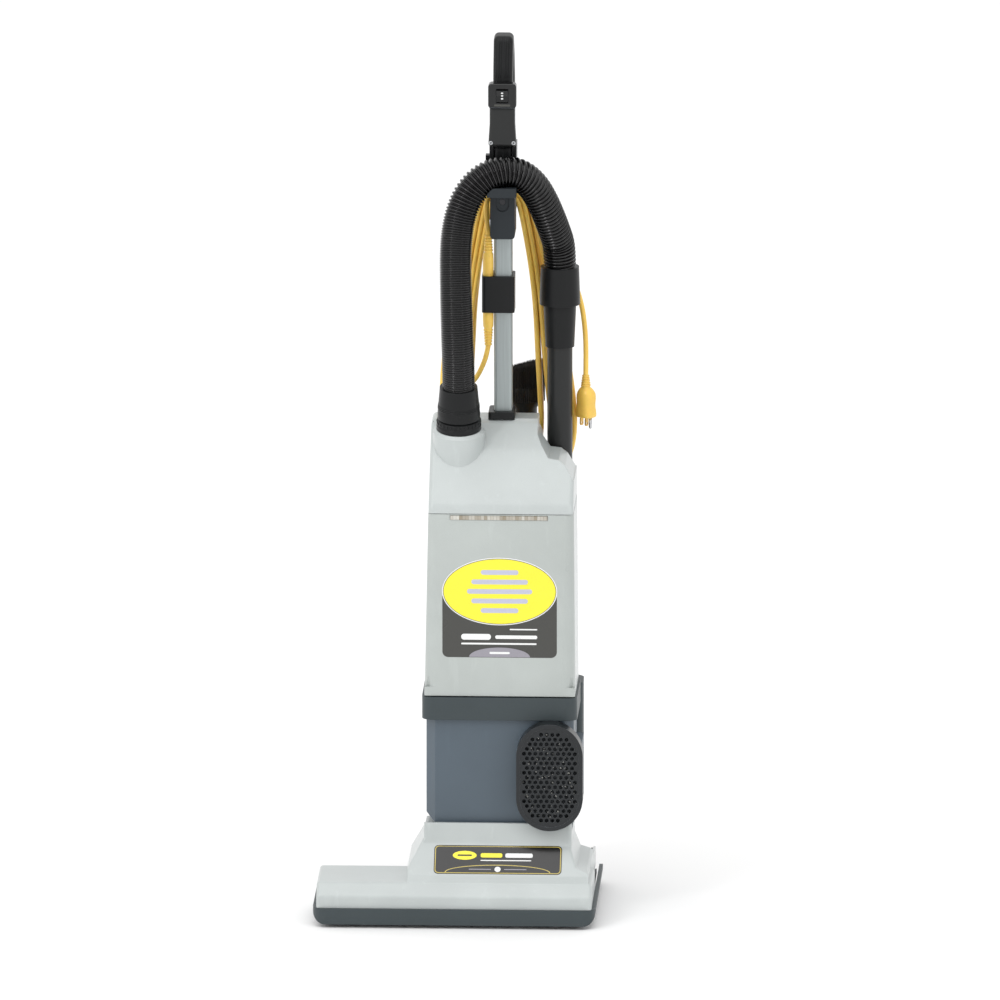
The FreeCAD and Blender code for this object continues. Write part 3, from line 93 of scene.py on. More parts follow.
def scaled(colour, share):
    """A colour made lighter or darker."""
    return (*(min(1.0, channel * share) for channel in colour[:3]), 1.0)


class Recipe:
    """One material's shader nodes, laid down step by step."""

    def __init__(self, name, **surface):
        self.material = bpy.data.materials.new(name + "_finish")
        self.material.use_nodes = True
        self.tree = self.material.node_tree
        self.surface = self.tree.nodes["Principled BSDF"]
        for key, value in surface.items():
            socket = key.replace("_", " ").title().replace("Ior", "IOR")
            self.surface.inputs[socket].default_value = value

    def add(self, kind, inputs, **settings):
        """A new node; each input is given a plain value, or a socket to be linked to."""
        node = self.tree.nodes.new("ShaderNode" + kind)
        for key, value in settings.items():
            setattr(node, key, value)
        for key, value in inputs.items():
            if isinstance(value, bpy.types.NodeSocket):
                self.tree.links.new(value, node.inputs[key])
            else:
                node.inputs[key].default_value = value
        return node

    def own_place(self):
        """The piece's own coordinates, in metres."""
        return self.add("TexCoord", {}).outputs["Object"]

    def axis(self, name):
        """One of the piece's own coordinates."""
        return self.add("SeparateXYZ", {"Vector": self.own_place()}).outputs[name]

    def noise(self, size, detail, stretch=(1, 1, 1)):
        """Cloudy noise, from 0 to 1, with blobs about size metres across, longer where stretch is small."""
        place = self.add("Mapping", {"Vector": self.own_place(), "Scale": stretch}).outputs["Vector"]
        inputs = {"Vector": place, "Scale": 1 / size, "Detail": detail, "Roughness": 0.55}
        return self.add("TexNoise", inputs).outputs["Fac"]

    def cells(self, size):
        """Distance to the middle of the nearest random cell, cells about size metres across."""
        return self.add("TexVoronoi", {"Vector": self.own_place(), "Scale": 1 / size}).outputs["Distance"]

    def spread(self, source, low, high, to_low=0.0, to_high=1.0):
        """The source's range from low to high, carried to another range and held inside it."""
        ends = {"From Min": low, "From Max": high, "To Min": to_low, "To Max": to_high}
        return self.add("MapRange", {"Value": source, **ends}).outputs["Result"]

    def sum(self, operation, *values):
        """Arithmetic on sockets or plain numbers."""
        return self.add("Math", dict(enumerate(values)), operation=operation).outputs["Value"]

    def mix(self, amount, first, second):
        """One colour passing into another; each is a colour or a socket."""
        return self.add("Mix", {0: amount, 6: first, 7: second}, data_type="RGBA").outputs[2]

    def stain(self, source, low, high, first, second, most=1.0):
        """One colour passing into another as the source goes from low to high."""
        return self.mix(self.spread(source, low, high, 0, most), first, second)

    def bump(self, height, depth, strength, **below):
        """Relief of that depth, in metres, laid over the Normal below, if one is given."""
        relief = {"Height": height, "Distance": depth, "Strength": strength, **below}
        return self.add("Bump", relief).outputs["Normal"]

    def finish(self, base, rough=None, normal=None):
        """The material, its colour, roughness and relief driven by those sockets."""
        for socket, source in (("Base Color", base), ("Roughness", rough), ("Normal", normal)):
            if source is not None:
                self.tree.links.new(source, self.surface.inputs[socket])
        return self.material


def moulded(name, colour, roughness, depth=0.00005, worn=None, coat=0.0, shine=0.5):
    """Injection-moulded plastic: drifting shade, pigment specks, fine grain, scuffs and rubbed edges."""
    look = Recipe(name, coat_weight=coat, coat_roughness=0.12, specular_ior_level=shine)
    cloud = look.noise(0.11, 3)
    scuffs = look.spread(look.noise(0.012, 5, (1, 1, 0.16)), 0.6, 0.74)
    base = look.stain(cloud, 0.3, 0.7, scaled(colour, 0.93), scaled(colour, 1.05))
    base = look.stain(look.noise(0.0011, 1), 0.6, 0.8, base, scaled(colour, 0.78), 0.35)
    base = look.mix(look.sum("MULTIPLY", scuffs, 0.22), base, scaled(colour, 1.3))
    rounded = look.add("Bevel", {"Radius": 0.0012}, samples=4).outputs["Normal"]
    flat = look.add("NewGeometry", {}).outputs["Normal"]
    facing = look.add("VectorMath", {0: rounded, 1: flat}, operation="DOT_PRODUCT").outputs["Value"]
    patches = look.spread(look.noise(0.006, 4), 0.35, 0.7, 0.1, 0.7)
    rubbed = look.sum("MULTIPLY", look.spread(facing, 0.985, 0.86), patches)
    base = look.mix(rubbed, base, worn or scaled(colour, 1.35))
    drift = look.spread(cloud, 0.25, 0.75, roughness - 0.04, roughness + 0.05)
    rough = look.sum("ADD", drift, look.sum("MULTIPLY", scuffs, 0.14))
    grain = look.bump(look.noise(0.0007, 2), depth, 0.6, Normal=rounded)
    return look.finish(base, rough, look.bump(look.noise(0.05, 1), 0.0004, 0.25, Normal=grain))


def metal(name, colour, roughness, stretch):
    """Drawn or brushed metal, with fine lines along the axis that stretch leaves long."""
    look = Recipe(name, metallic=1.0)
    lines = look.noise(0.0009, 3, stretch)
    base = look.stain(lines, 0.3, 0.7, scaled(colour, 0.86), scaled(colour, 1.08))
    base = look.stain(look.noise(0.03, 4), 0.5, 0.8, base, scaled(colour, 0.7), 0.4)
    rough = look.spread(lines, 0.3, 0.7, roughness - 0.06, roughness + 0.08)
    return look.finish(base, rough, look.bump(lines, 0.00002, 0.5))


def painted_tube(name, colour):
    """Anodised aluminium: satin grey with faint draw lines along Z and a few rub marks."""
    look = Recipe(name, metallic=0.35)
    lines = look.noise(0.0016, 3, (1, 1, 0.02))
    rubs = look.spread(look.noise(0.02, 4, (1, 1, 0.3)), 0.58, 0.75)
    base = look.stain(lines, 0.3, 0.7, scaled(colour, 0.9), scaled(colour, 1.05))
    base = look.mix(look.sum("MULTIPLY", rubs, 0.4), base, scaled(colour, 1.25))
    return look.finish(base, look.spread(lines, 0.2, 0.8, 0.36, 0.5), look.bump(lines, 0.00003, 0.5))


def jacket(name, colour):
    """Soft vinyl of a mains lead or its mouldings: waxy, slightly uneven, grubby in places."""
    look = Recipe(name, subsurface_weight=0.08, subsurface_scale=0.002, coat_weight=0.15)
    handled = look.noise(0.035, 4)
    base = look.stain(handled, 0.35, 0.7, scaled(colour, 1.04), scaled(colour, 0.86))
    base = look.stain(look.noise(0.0018, 2), 0.62, 0.8, base, scaled(colour, 0.6), 0.4)
    rough = look.spread(handled, 0.3, 0.7, 0.4, 0.55)
    return look.finish(base, rough, look.bump(look.noise(0.0035, 3), 0.00012, 0.6))


def rubber(name, colour, roughness=0.5, coat=0.0):
    """Black rubber or flexible vinyl: dusty where it rubs."""
    look = Recipe(name, coat_weight=coat, coat_roughness=0.1, specular_ior_level=0.4)
    dust = look.noise(0.02, 5)
    base = look.stain(dust, 0.45, 0.8, colour, scaled(colour, 2.4), 0.6)
    rough = look.spread(dust, 0.3, 0.7, roughness - 0.06, roughness + 0.1)
    return look.finish(base, rough, look.bump(look.noise(0.0009, 3), 0.00006, 0.6))


def fibres(name, colour, tint, stretch=(1, 1, 1)):
    """Paper, felt or foam: matted fibres and pores."""
    look = Recipe(name, roughness=0.95)
    mat = look.noise(0.0018, 6, stretch)
    base = look.stain(mat, 0.3, 0.7, colour, scaled(colour, 0.8))
    base = look.stain(look.noise(0.04, 3), 0.4, 0.75, base, tint, 0.7)
    return look.finish(base, normal=look.bump(mat, 0.0004, 0.8))


def printed(name, colour, roughness):
    """Printed label film: a thin clear coat over ink with a trace of mottling."""
    look = Recipe(name, coat_weight=0.35, coat_roughness=0.15)
    wash = look.noise(0.05, 2)
    base = look.stain(look.noise(0.0016, 3), 0.4, 0.7, colour, scaled(colour, 0.9))
    base = look.stain(wash, 0.3, 0.8, base, scaled(colour, 1.07), 0.5)
    rough = look.spread(wash, 0.3, 0.7, roughness - 0.04, roughness + 0.06)
    return look.finish(base, rough, look.bump(look.noise(0.004, 2), 0.00003, 0.4))


def foam_with_painted_glints(name, colour, painted_glint):
    """Dark open foam, with pale specks of painted highlight standing for the lit walls of the holes it is
    seen through.
    """
    look = Recipe(name, roughness=0.9, specular_ior_level=0.2)
    pores = look.noise(0.0022, 4)
    base = look.stain(pores, 0.35, 0.7, colour, scaled(colour, 0.4))
    # The pale cells are painted highlight, for lit hole walls seen through the grille, not grains in the
    # foam.
    base = look.stain(look.cells(0.006), 0.26, 0.18, base, painted_glint)
    return look.finish(base, normal=look.bump(pores, 0.0006, 0.8))


def hair(name, colour, tip):
    """Brush hair, a little paler towards some strands."""
    look = Recipe(name)
    strands = look.noise(0.0012, 2, (1, 1, 0.3))
    base = look.stain(strands, 0.35, 0.7, colour, tip)
    return look.finish(base, look.spread(strands, 0.3, 0.7, 0.45, 0.7))


def window_strip(name):
    """The door latch's pale strip, which shows a row of short ivory and tan bands along X."""
    look = Recipe(name, coat_weight=0.3)
    band_width = 0.0043
    bands = look.sum("DIVIDE", look.axis("X"), band_width)
    # Each band's number is scrambled into a tone of its own.
    scrambled = look.sum("SINE", look.sum("MULTIPLY", look.sum("FLOOR", bands), 12.9898))
    tone = look.sum("FRACT", look.sum("MULTIPLY", scrambled, 43.7))
    off_middle = look.sum("ABSOLUTE", look.sum("SUBTRACT", look.sum("FRACT", bands), 0.5))
    groove = look.spread(off_middle, 0.42, 0.48)
    base = look.mix(tone, srgb(208, 206, 198), srgb(150, 139, 120))
    base = look.mix(look.sum("MULTIPLY", groove, 0.4), base, srgb(110, 100, 86))
    rough = look.spread(look.noise(0.004, 3), 0.3, 0.7, 0.25, 0.4)
    return look.finish(base, rough, look.bump(groove, 0.0004, 0.7))


def wheel_finish(name, centre, tyre_radius, tyre, hub):
    """A wheel turning about X: a rubber tyre outside tyre_radius, moulded plastic inside it."""
    look = Recipe(name)
    sides = [look.sum("SUBTRACT", look.axis(axis), at) for axis, at in zip("YZ", centre)]
    square = [look.sum("MULTIPLY", side, side) for side in sides]
    radius = look.sum("SQRT", look.sum("ADD", *square))
    outside = look.spread(radius, tyre_radius - 0.0002, tyre_radius + 0.0002)
    dust = look.noise(0.008, 4)
    dark = look.stain(dust, 0.45, 0.8, tyre, scaled(tyre, 2.2))
    pale = look.stain(dust, 0.4, 0.8, hub, scaled(hub, 0.8))
    rough = look.spread(outside, 0, 1, 0.4, 0.75)
    relief = look.bump(look.noise(0.0012, 3), 0.0001, 0.6)
    return look.finish(look.mix(outside, pale, dark), rough, relief)


FINISH = {
    "light_shell": moulded("light_shell", srgb(188, 194, 193), 0.3, worn=srgb(226, 229, 229), coat=0.25),
    "slate_band": moulded("slate_band", srgb(59, 68, 71), 0.42, depth=0.00009, shine=0.4),
    "slate_shell": moulded("slate_shell", srgb(85, 97, 107), 0.36, shine=0.4),
    "black_plastic": moulded(
        "black_plastic", srgb(25, 26, 27), 0.34, depth=0.00007, worn=srgb(60, 62, 64), shine=0.22
    ),
    "gloss_black": moulded("gloss_black", srgb(20, 21, 22), 0.2, worn=srgb(56, 58, 61), coat=0.3, shine=0.3),
    "steel": metal("zinc_steel", srgb(190, 192, 194), 0.3, (1, 1, 0.4)),
    "motor_can": metal("motor_can", srgb(168, 170, 172), 0.34, (0.06, 1, 1)),
    "aluminium_tube": painted_tube("aluminium_tube", srgb(165, 173, 173)),
    "cord_yellow": jacket("yellow_jacket", srgb(254, 208, 94)),
    "wheel_grey": moulded("roller", srgb(104, 108, 112), 0.45),
    "belt_rubber": rubber("belt_rubber", srgb(30, 30, 31)),
    "bristle": hair("floor_bristle", srgb(36, 38, 42), srgb(84, 88, 94)),
    "bag_paper": fibres("bag_paper", srgb(214, 205, 184), srgb(190, 178, 152), (1, 1, 0.3)),
    "filter_paper": fibres("filter_paper", srgb(232, 230, 224), srgb(206, 204, 198)),
    "filter_foam": fibres("filter_foam", srgb(60, 62, 66), srgb(38, 39, 42)),
    "latch_pale": window_strip("latch_strip"),
}
BRASS = metal("brass", srgb(214, 176, 104), 0.25, (1, 1, 0.15))
NICKEL = metal("nickel", srgb(206, 207, 209), 0.22, (1, 1, 0.15))
HOSE_RUBBER = rubber("hose", srgb(10, 10, 11), 0.17, 0.2)
HORSEHAIR = hair("horsehair", srgb(14, 14, 15), srgb(52, 50, 48))
# Black plastic made lighter for the wand and the handle's front cover: the extra lightness is painted sheen.
WAND_PLASTIC_WITH_PAINTED_SHEEN = moulded("wand", srgb(38, 39, 39), 0.3, worn=srgb(80, 82, 82), shine=0.3)
# CAD nodes that look otherwise than their slot.
NODE_FINISH = {
    "wand": WAND_PLASTIC_WITH_PAINTED_SHEEN,
    "handle_shroud": WAND_PLASTIC_WITH_PAINTED_SHEEN,
    "wand_socket": FINISH["slate_band"],
    # A darker copy of the light shell plastic for the door: painted shade on its upright face, which catches
    # less light from above than the shell's top.
    "bag_door": moulded("door", srgb(180, 186, 183), 0.3, worn=srgb(222, 225, 225), coat=0.25),
    "exhaust_grille": moulded("grille", srgb(29, 32, 35), 0.3, worn=srgb(96, 100, 104), shine=0.4),
    "casing_screws": metal("blacked_screw", srgb(64, 64, 66), 0.4, (1, 1, 1)),
    "cord_saddle": moulded("saddle", srgb(40, 45, 49), 0.42, shine=0.25),
    # The exhaust foam's pale specks are painted highlight.
    "exhaust_filter": foam_with_painted_glints("exhaust_foam", srgb(66, 69, 72), srgb(214, 214, 208)),
}
INK = {
    name: printed(name + "_ink", srgb(*colour), roughness)
    for name, colour, roughness in (
        ("dark", (58, 58, 54), 0.3), ("black", (26, 25, 25), 0.22), ("yellow", (252, 238, 52), 0.3),
        ("white", (240, 241, 240), 0.3), ("lilac", (190, 192, 212), 0.3), ("grey", (150, 147, 156), 0.3),
        ("gold", (206, 186, 96), 0.3),
    )
}


# ---- camera, floor and light

AZIMUTH = math.radians(2.4)
ELEVATION = math.radians(13.0)
DISTANCE = 60.0
FRAME_WIDTH = 1.38
SENSOR = 36.0
AIM = Vector((0.0572, 0.0, 0.57))

camera_data = bpy.data.cameras.new("camera")
camera = bpy.data.objects.new("camera", camera_data)
bpy.context.scene.collection.objects.link(camera)
towards_camera = Vector((
    math.sin(AZIMUTH) * math.cos(ELEVATION),
    -math.cos(AZIMUTH) * math.cos(ELEVATION),
    math.sin(ELEVATION),
))
camera.location = AIM + DISTANCE * towards_camera
camera.rotation_mode = "QUATERNION"
camera.rotation_quaternion = towards_camera.to_track_quat("Z", "Y")
camera_data.sensor_width = SENSOR
camera_data.lens = SENSOR * DISTANCE / FRAME_WIDTH
camera_data.clip_end = 200
bpy.context.scene.camera = camera
bpy.context.scene.view_settings.view_transform = "Standard"


def link(name, data):
    """A new object in the scene."""
    piece = bpy.data.objects.new(name, data)
    bpy.context.scene.collection.objects.link(piece)
    return piece


def mesh_piece(name, vertices, faces, material, smooth=True):
    """A mesh from plain vertices and faces."""
    mesh = bpy.data.meshes.new(name)
    mesh.from_pydata([tuple(v) for v in vertices], [], faces)
    mesh.materials.append(material)
    mesh.polygons.foreach_set("use_smooth", [smooth] * len(mesh.polygons))
    mesh.validate()
    mesh.update()
    return link(name, mesh)


def floor_finish():
    """Pale paper, barely clouded."""
    look = Recipe("floor")
    cloud = look.noise(1.5, 2)
    base = look.mix(cloud, srgb(249, 249, 249), srgb(251, 251, 251))
    return look.finish(base, look.spread(cloud, 0, 1, 0.7, 0.8))


FLOOR_REACH = 40.0
floor_corners = [(x * FLOOR_REACH, y * FLOOR_REACH, 0) for x, y in ((-1, -1), (1, -1), (1, 1), (-1, 1))]
floor = mesh_piece("floor", floor_corners, [(0, 1, 2, 3)], floor_finish())

LIT_POINT = Vector((0.05, 0, 0.5))


def studio_light(name, kind, place, power):
    """A light turned from its place towards the middle of the machine."""
    data = bpy.data.lights.new(name, kind)
    data.energy = power
    light = link(name, data)
    light.location = place
    light.rotation_mode = "QUATERNION"
    light.rotation_quaternion = (Vector(place) - LIT_POINT).to_track_quat("Z", "Y")
    return data


def soft_box(name, place, width, height, power):
    """A rectangular studio light."""
    data = studio_light(name, "AREA", place, power)
    data.shape = "RECTANGLE"
    data.size = width
    data.size_y = height


soft_box("key_light", (-2.4, -3.0, 3.0), 0.45, 1.8, 26)
soft_box("fill_light", (2.8, -2.6, 2.0), 0.3, 1.6, 9)
soft_box("back_light", (0.6, 3.4, 3.6), 3.0, 3.0, 10)
studio_light("overhead_light", "SUN", (-1.0, -1.6, 6.0), 0.85).angle = math.radians(60)
world = bpy.data.worlds.new("studio")
world.use_nodes = True
background = world.node_tree.nodes["Background"].inputs
background["Color"].default_value = (1, 1, 1, 1)
background["Strength"].default_value = 0.84
bpy.context.scene.world = world


# ---- shapes


def circle(count):
    """Even angles once round."""
    return [2 * math.pi * index / count for index in range(count)]


def half_circle(count):
    """Even angles half way round, both ends included."""
    return [math.pi * index / (count - 1) for index in range(count)]


def outward(angle, side, across):
    """The direction that lies at an angle from side, turning towards across."""
    return math.cos(angle) * side + math.sin(angle) * across


def nurbs(name, points, width=None, material=None, detail=8):
    """A smooth open line through a route's control points, thick if a width is given."""
    curve = bpy.data.curves.new(name, "CURVE")
    curve.dimensions = "3D"
    spline = curve.splines.new("NURBS")
    spline.points.add(len(points) - 1)
    for control, place in zip(spline.points, points):
        control.co = (*place, 1)
    spline.order_u = 3
    spline.use_endpoint_u = True
    spline.resolution_u = detail
    if width:
        curve.bevel_depth = width / 2
        curve.bevel_resolution = 3
        curve.use_fill_caps = True
        curve.materials.append(material)
    return link(name, curve)


def centreline(points, step):
    """Places at even steps along a route's smooth line, the direction at each, and the step itself."""
    line = nurbs("line", points, detail=24)
    bpy.context.view_layer.update()
    mesh = bpy.data.meshes.new_from_object(line)
    places = [v.co.copy() for v in mesh.vertices]
    curve = line.data
    bpy.data.objects.remove(line)
    bpy.data.curves.remove(curve)
    bpy.data.meshes.remove(mesh)
    total = sum((b - a).length for a, b in zip(places, places[1:]))
    count = round(total / step)
    even = total / count
    walked = 0.0
    found = [places[0]]
    for a, b in zip(places, places[1:]):
        run = (b - a).length
        while len(found) < count and len(found) * even <= walked + run:
            found.append(a.lerp(b, (len(found) * even - walked) / run))
        walked += run
    found.append(places[-1])
    before = [found[0], *found[:-1]]
    after = [*found[1:], found[-1]]
    return found, [(b - a).normalized() for a, b in zip(before, after)], even


def lofted(name, rings, material):
    """A closed skin through rings of points that all have the same count."""
    count = len(rings[0])
    vertices = [place for ring in rings for place in ring]
    faces = []
    for ring in range(len(rings) - 1):
        for index in range(count):
            a = ring * count + index
            b = ring * count + (index + 1) % count
            faces.append((a, b, b + count, a + count))
    faces.append(tuple(reversed(range(count))))
    faces.append(tuple(range((len(rings) - 1) * count, len(rings) * count)))
    return mesh_piece(name, vertices, faces, material)


def sweep(name, places, directions, outline, material, sides):
    """A tube along places, whose radius at ring i and turn share t is outline(i, t)."""
    side = directions[0].orthogonal().normalized()
    rings = []
    for index, (place, along) in enumerate(zip(places, directions)):
        side = (side - along * side.dot(along)).normalized()
        across = along.cross(side)
        rings.append([
            place + outline(index, turn / sides) * outward(angle, side, across)
            for turn, angle in enumerate(circle(sides))
        ])
    return lofted(name, rings, material)


def lathed(name, profile, base, along, material, sides=40):
    """A body of revolution: (height, radius) pairs about an axis from base; radius 0 closes an end."""
    along = Vector(along).normalized()
    side = along.orthogonal().normalized()
    across = along.cross(side)
    rings = [
        [Vector(base) + height * along + radius * outward(angle, side, across) for angle in circle(sides)]
        for height, radius in profile
    ]
    return lofted(name, rings, material)


def bar(name, low, high, material, rounding):
    """A small rounded bar between two corners."""
    corners = [(x, y, z) for x in (low[0], high[0]) for y in (low[1], high[1]) for z in (low[2], high[2])]
    sides = [(0, 1, 3, 2), (4, 6, 7, 5), (0, 4, 5, 1), (2, 3, 7, 6), (0, 2, 6, 4), (1, 5, 7, 3)]
    piece = mesh_piece(name, corners, sides, material)
    modifier = piece.modifiers.new("round", "BEVEL")
    modifier.width = rounding
    modifier.segments = 3
    modifier.limit_method = "ANGLE"
    bpy.context.view_layer.objects.active = piece
    bpy.ops.object.modifier_apply(modifier=modifier.name)
    return piece


def joined(name, pieces):
    """Several mesh pieces as one."""
    for piece in bpy.context.scene.objects:
        piece.select_set(piece in pieces)
    bpy.context.view_layer.objects.active = pieces[0]
    bpy.ops.object.join()
    pieces[0].name = name
    return pieces[0]


def oval(centre, half_wide, half_high, angles=tuple(circle(64))):
    """Points on an ellipse at those angles, in a label's own plane."""
    return [
        (centre[0] + half_wide * math.cos(angle), centre[1] + half_high * math.sin(angle))
        for angle in angles
    ]


def squarish(angle, half_wide, half_deep, corner):
    """A point on a rounded outline: an ellipse where corner is 2, and nearer to a box as it grows."""
    cosine, sine = math.cos(angle), math.sin(angle)
    return (
        half_wide * math.copysign(abs(cosine) ** (2 / corner), cosine),
        half_deep * math.copysign(abs(sine) ** (2 / corner), sine),
    )


def rounded_box(left, right, bottom, top, radius):
    """Points round a rectangle with rounded corners, in a label's own plane."""
    steps = 5
    middles = (
        (right - radius, top - radius), (left + radius, top - radius),
        (left + radius, bottom + radius), (right - radius, bottom + radius),
    )
    points = []
    for quarter, middle in enumerate(middles):
        angles = [math.radians(90 * (quarter + step / steps)) for step in range(steps + 1)]
        points += oval(middle, radius, radius, angles)
    return points


class Face:
    """A CAD surface that labels and ribs are laid on, seen in a plane that holds X and up."""

    def __init__(self, nodes, origin, up=(0, 0, 1)):
        self.trees = []
        for node in nodes:
            mesh = NODES[node].data
            corners = [v.co for v in mesh.vertices]
            self.trees.append(BVHTree.FromPolygons(corners, [tuple(p.vertices) for p in mesh.polygons]))
        self.origin = Vector(origin)
        self.right = Vector((1, 0, 0))
        self.up = Vector(up).normalized()
        self.out = self.right.cross(self.up)

    def point(self, across, above, lift):
        """The surface under a point of the label's plane, raised by lift."""
        reach = 0.08
        start = self.origin + across * self.right + above * self.up + reach * self.out
        hits = [tree.ray_cast(start, -self.out, 2 * reach) for tree in self.trees]
        nearest = min((hit for hit in hits if hit[0] is not None), key=lambda hit: hit[3])
        return nearest[0] + lift * self.out

    def decal(self, name, outline, lift, material, rings):
        """A thin film over the surface inside an outline."""
        count = len(outline)
        sunk = 0.0003
        middle = [sum(p[axis] for p in outline) / count for axis in (0, 1)]
        places = [tuple(middle)]
        for ring in range(1, rings + 1):
            share = ring / rings
            places += [tuple(m + (p - m) * share for m, p in zip(middle, point)) for point in outline]
        top = [self.point(*place, lift) for place in places]
        under = [place - (lift + sunk) * self.out for place in top]
        size = len(top)
        rim = 1 + (rings - 1) * count
        faces, sides = [], []
        for index in range(count):
            following = (index + 1) % count
            faces.append((0, 1 + index, 1 + following))
            for a in range(1, rim, count):
                faces.append((a + index, a + count + index, a + count + following, a + following))
            sides.append((rim + index, size + rim + index, size + rim + following, rim + following))
        faces += [tuple(size + corner for corner in reversed(face)) for face in faces] + sides
        return mesh_piece(name, top + under, faces, material, smooth=False)


def dress(piece, body, slot, *replaced):
    """Puts a finished piece on its body and hides the CAD nodes that it stands for; the slot is not used."""
    if replaced:
        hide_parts(*replaced)
    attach(piece, body)
    return piece


def lowest(node):
    """A CAD node's lowest corner."""
    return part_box(node)[0]


def highest(node):
    """A CAD node's highest corner."""
    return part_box(node)[1]


# ---- mains cord, pigtail and hose

# The cord's two ends, in millimetres: from the coupler to the hank, and from the hank to the plug.
LEAD_ROUTE = [
    (39.5, 35, 781), (37, 35.3, 766), (31.5, 37, 751), (25, 41.5, 737), (18, 50, 726), (11.5, 64, 719),
    (7, 81, 722), (5, 94, 738), (7, 98, 762),
]
PLUG_ROUTE = [
    (88, 116, 924), (104, 114, 913), (121, 113.5, 901), (140, 111, 884), (155, 104, 858),
    (166, 96.5, 828), (171, 91.5, 794), (172.5, 90, 760), (172, 90, 728),
]
HANK_MIDDLE = 60
HANK_TOP = 960
HANK_BOTTOM = 640
HANK_FRONT = 98
TURNS = 12
LANES = 4
LANE_PITCH = 7.3
# How far the inner strands run from the middle at four heights, and how much farther each layer runs.
TOP_HALF = (21.0, 6.8)
HIGH_HALF = (41.0, 7.0)
LOW_HALF = (46.5, 9.5)
FOOT_HALF = (50.0, 16.0)
# How far the bend at the foot hangs below the bottom, and how much farther each layer hangs.
FOOT_DEPTH = (64.5, 9.0)
LOW_SHARE = 0.3
HIGH_SHARE = 0.66
# A bend's control points stand this much outside the bend itself.
TOP_MARGIN = 1 / math.cos(math.radians(18))
FOOT_MARGIN = 1 / math.cos(math.radians(20))
# How far a loose strand strays outward at the foot, low and high: {(turn, side): (foot, low, high)}.
STRAYING = {(8, 1): (13, 25, 10), (9, -1): (6, 9, 4), (11, -1): (18, 24, 12)}


def strays(turn, side):
    """How far one side of a turn strays outward, at the foot, low and high."""
    return STRAYING.get((turn, side), (0, 0, 0))


def bend(depth, height, reach, rise, angles):
    """Control points of a bend about the hank's middle, at those angles in degrees."""
    return [
        (across, depth, above)
        for across, above in oval((HANK_MIDDLE, height), reach, rise, [math.radians(a) for a in angles])
    ]


def hank_route():
    """Control points of the loops hung over the upper hook: up the left side, over, and down the right."""
    random.seed(7)
    route = []
    for turn in range(TURNS + 1):
        layer, lane = divmod(min(turn, TURNS - 1), LANES)
        if layer % 2:
            lane = LANES - 1 - lane
        depth = HANK_FRONT + LANE_PITCH * lane
        top, high, low, foot, foot_depth = (
            inner + pitch * layer for inner, pitch in (TOP_HALF, HIGH_HALF, LOW_HALF, FOOT_HALF, FOOT_DEPTH)
        )
        foot += random.uniform(-1.5, 1.5)
        slack = 0.4 + 0.6 * layer

        def strand(side):
            """The low and the high point of one side of this turn."""
            _, low_stray, high_stray = strays(turn, side)
            half_low = low + low_stray + slack * random.uniform(-1, 1)
            half_high = high + high_stray + slack * random.uniform(-1, 1)
            return [
                (HANK_MIDDLE + side * half, depth, HANK_BOTTOM + (HANK_TOP - HANK_BOTTOM) * share)
                for half, share in ((half_low, LOW_SHARE), (half_high, HIGH_SHARE))
            ]

        climb = strand(-1)
        route += climb if turn else climb[1:]
        over = top * TOP_MARGIN
        route += bend(depth, HANK_TOP, over, over, (162, 126, 90, 54))
        if turn == TURNS:
            return route
        route += bend(depth, HANK_TOP, over, over, (18,))
        route += reversed(strand(1))
        for side, angles in ((1, (-8, -49, -90)), (-1, (-131, -172))):
            reach = (foot + strays(turn, side)[0]) * FOOT_MARGIN
            route += bend(depth, HANK_BOTTOM, reach, foot_depth * FOOT_MARGIN, angles)


def in_metres(route):
    """A route given in millimetres."""
    return [tuple(value * MM for value in place) for place in route]


cord_route = in_metres(LEAD_ROUTE + hank_route() + PLUG_ROUTE)
mains_cord = nurbs("mains_cord", cord_route, CORD_WIDTH, FINISH["cord_yellow"], detail=10)
dress(mains_cord, "upright", "cord_yellow", "cord_lead", "cord_hank", "plug_lead")

PIGTAIL_ROUTE = [(41.5, 38.5, 1018), (39, 38.5, 998), (36.5, 37.5, 972), (38.4, 35.6, 951), (39.5, 35, 937)]
pigtail = nurbs("pigtail", in_metres(PIGTAIL_ROUTE), CORD_WIDTH, FINISH["cord_yellow"])
dress(pigtail, "upright", "cord_yellow", "pigtail_cord")

COUPLER_WIDE = 0.0074
COUPLER_NARROW = 0.0044


def connector_profile(sign, start, grip):
    """Heights and radii of one moulded connector: ribbed relief at its cord end, then a plain grip."""
    profile = [(start, 0.0), (start, COUPLER_NARROW)]
    swelling = COUPLER_WIDE - COUPLER_NARROW
    ribs = 6
    relief = 0.024
    for rib in range(ribs):
        low = rib * relief / ribs
        radius = COUPLER_NARROW + swelling * 0.55 * low / relief
        for share, swell in ((0.1, 0), (0.22, 0.0007), (0.62, 0.0007), (0.75, 0), (0.98, -0.0004)):
            profile.append((start + sign * (low + share * relief / ribs), radius + swell))
    grip_profile = (
        (relief + 0.003, COUPLER_NARROW + swelling * 0.85), (relief + 0.012, COUPLER_WIDE),
        (grip - 0.002, COUPLER_WIDE), (grip, COUPLER_WIDE - 0.0012), (grip, 0.0),
    )
    return profile + [(start + sign * height, radius) for height, radius in grip_profile]


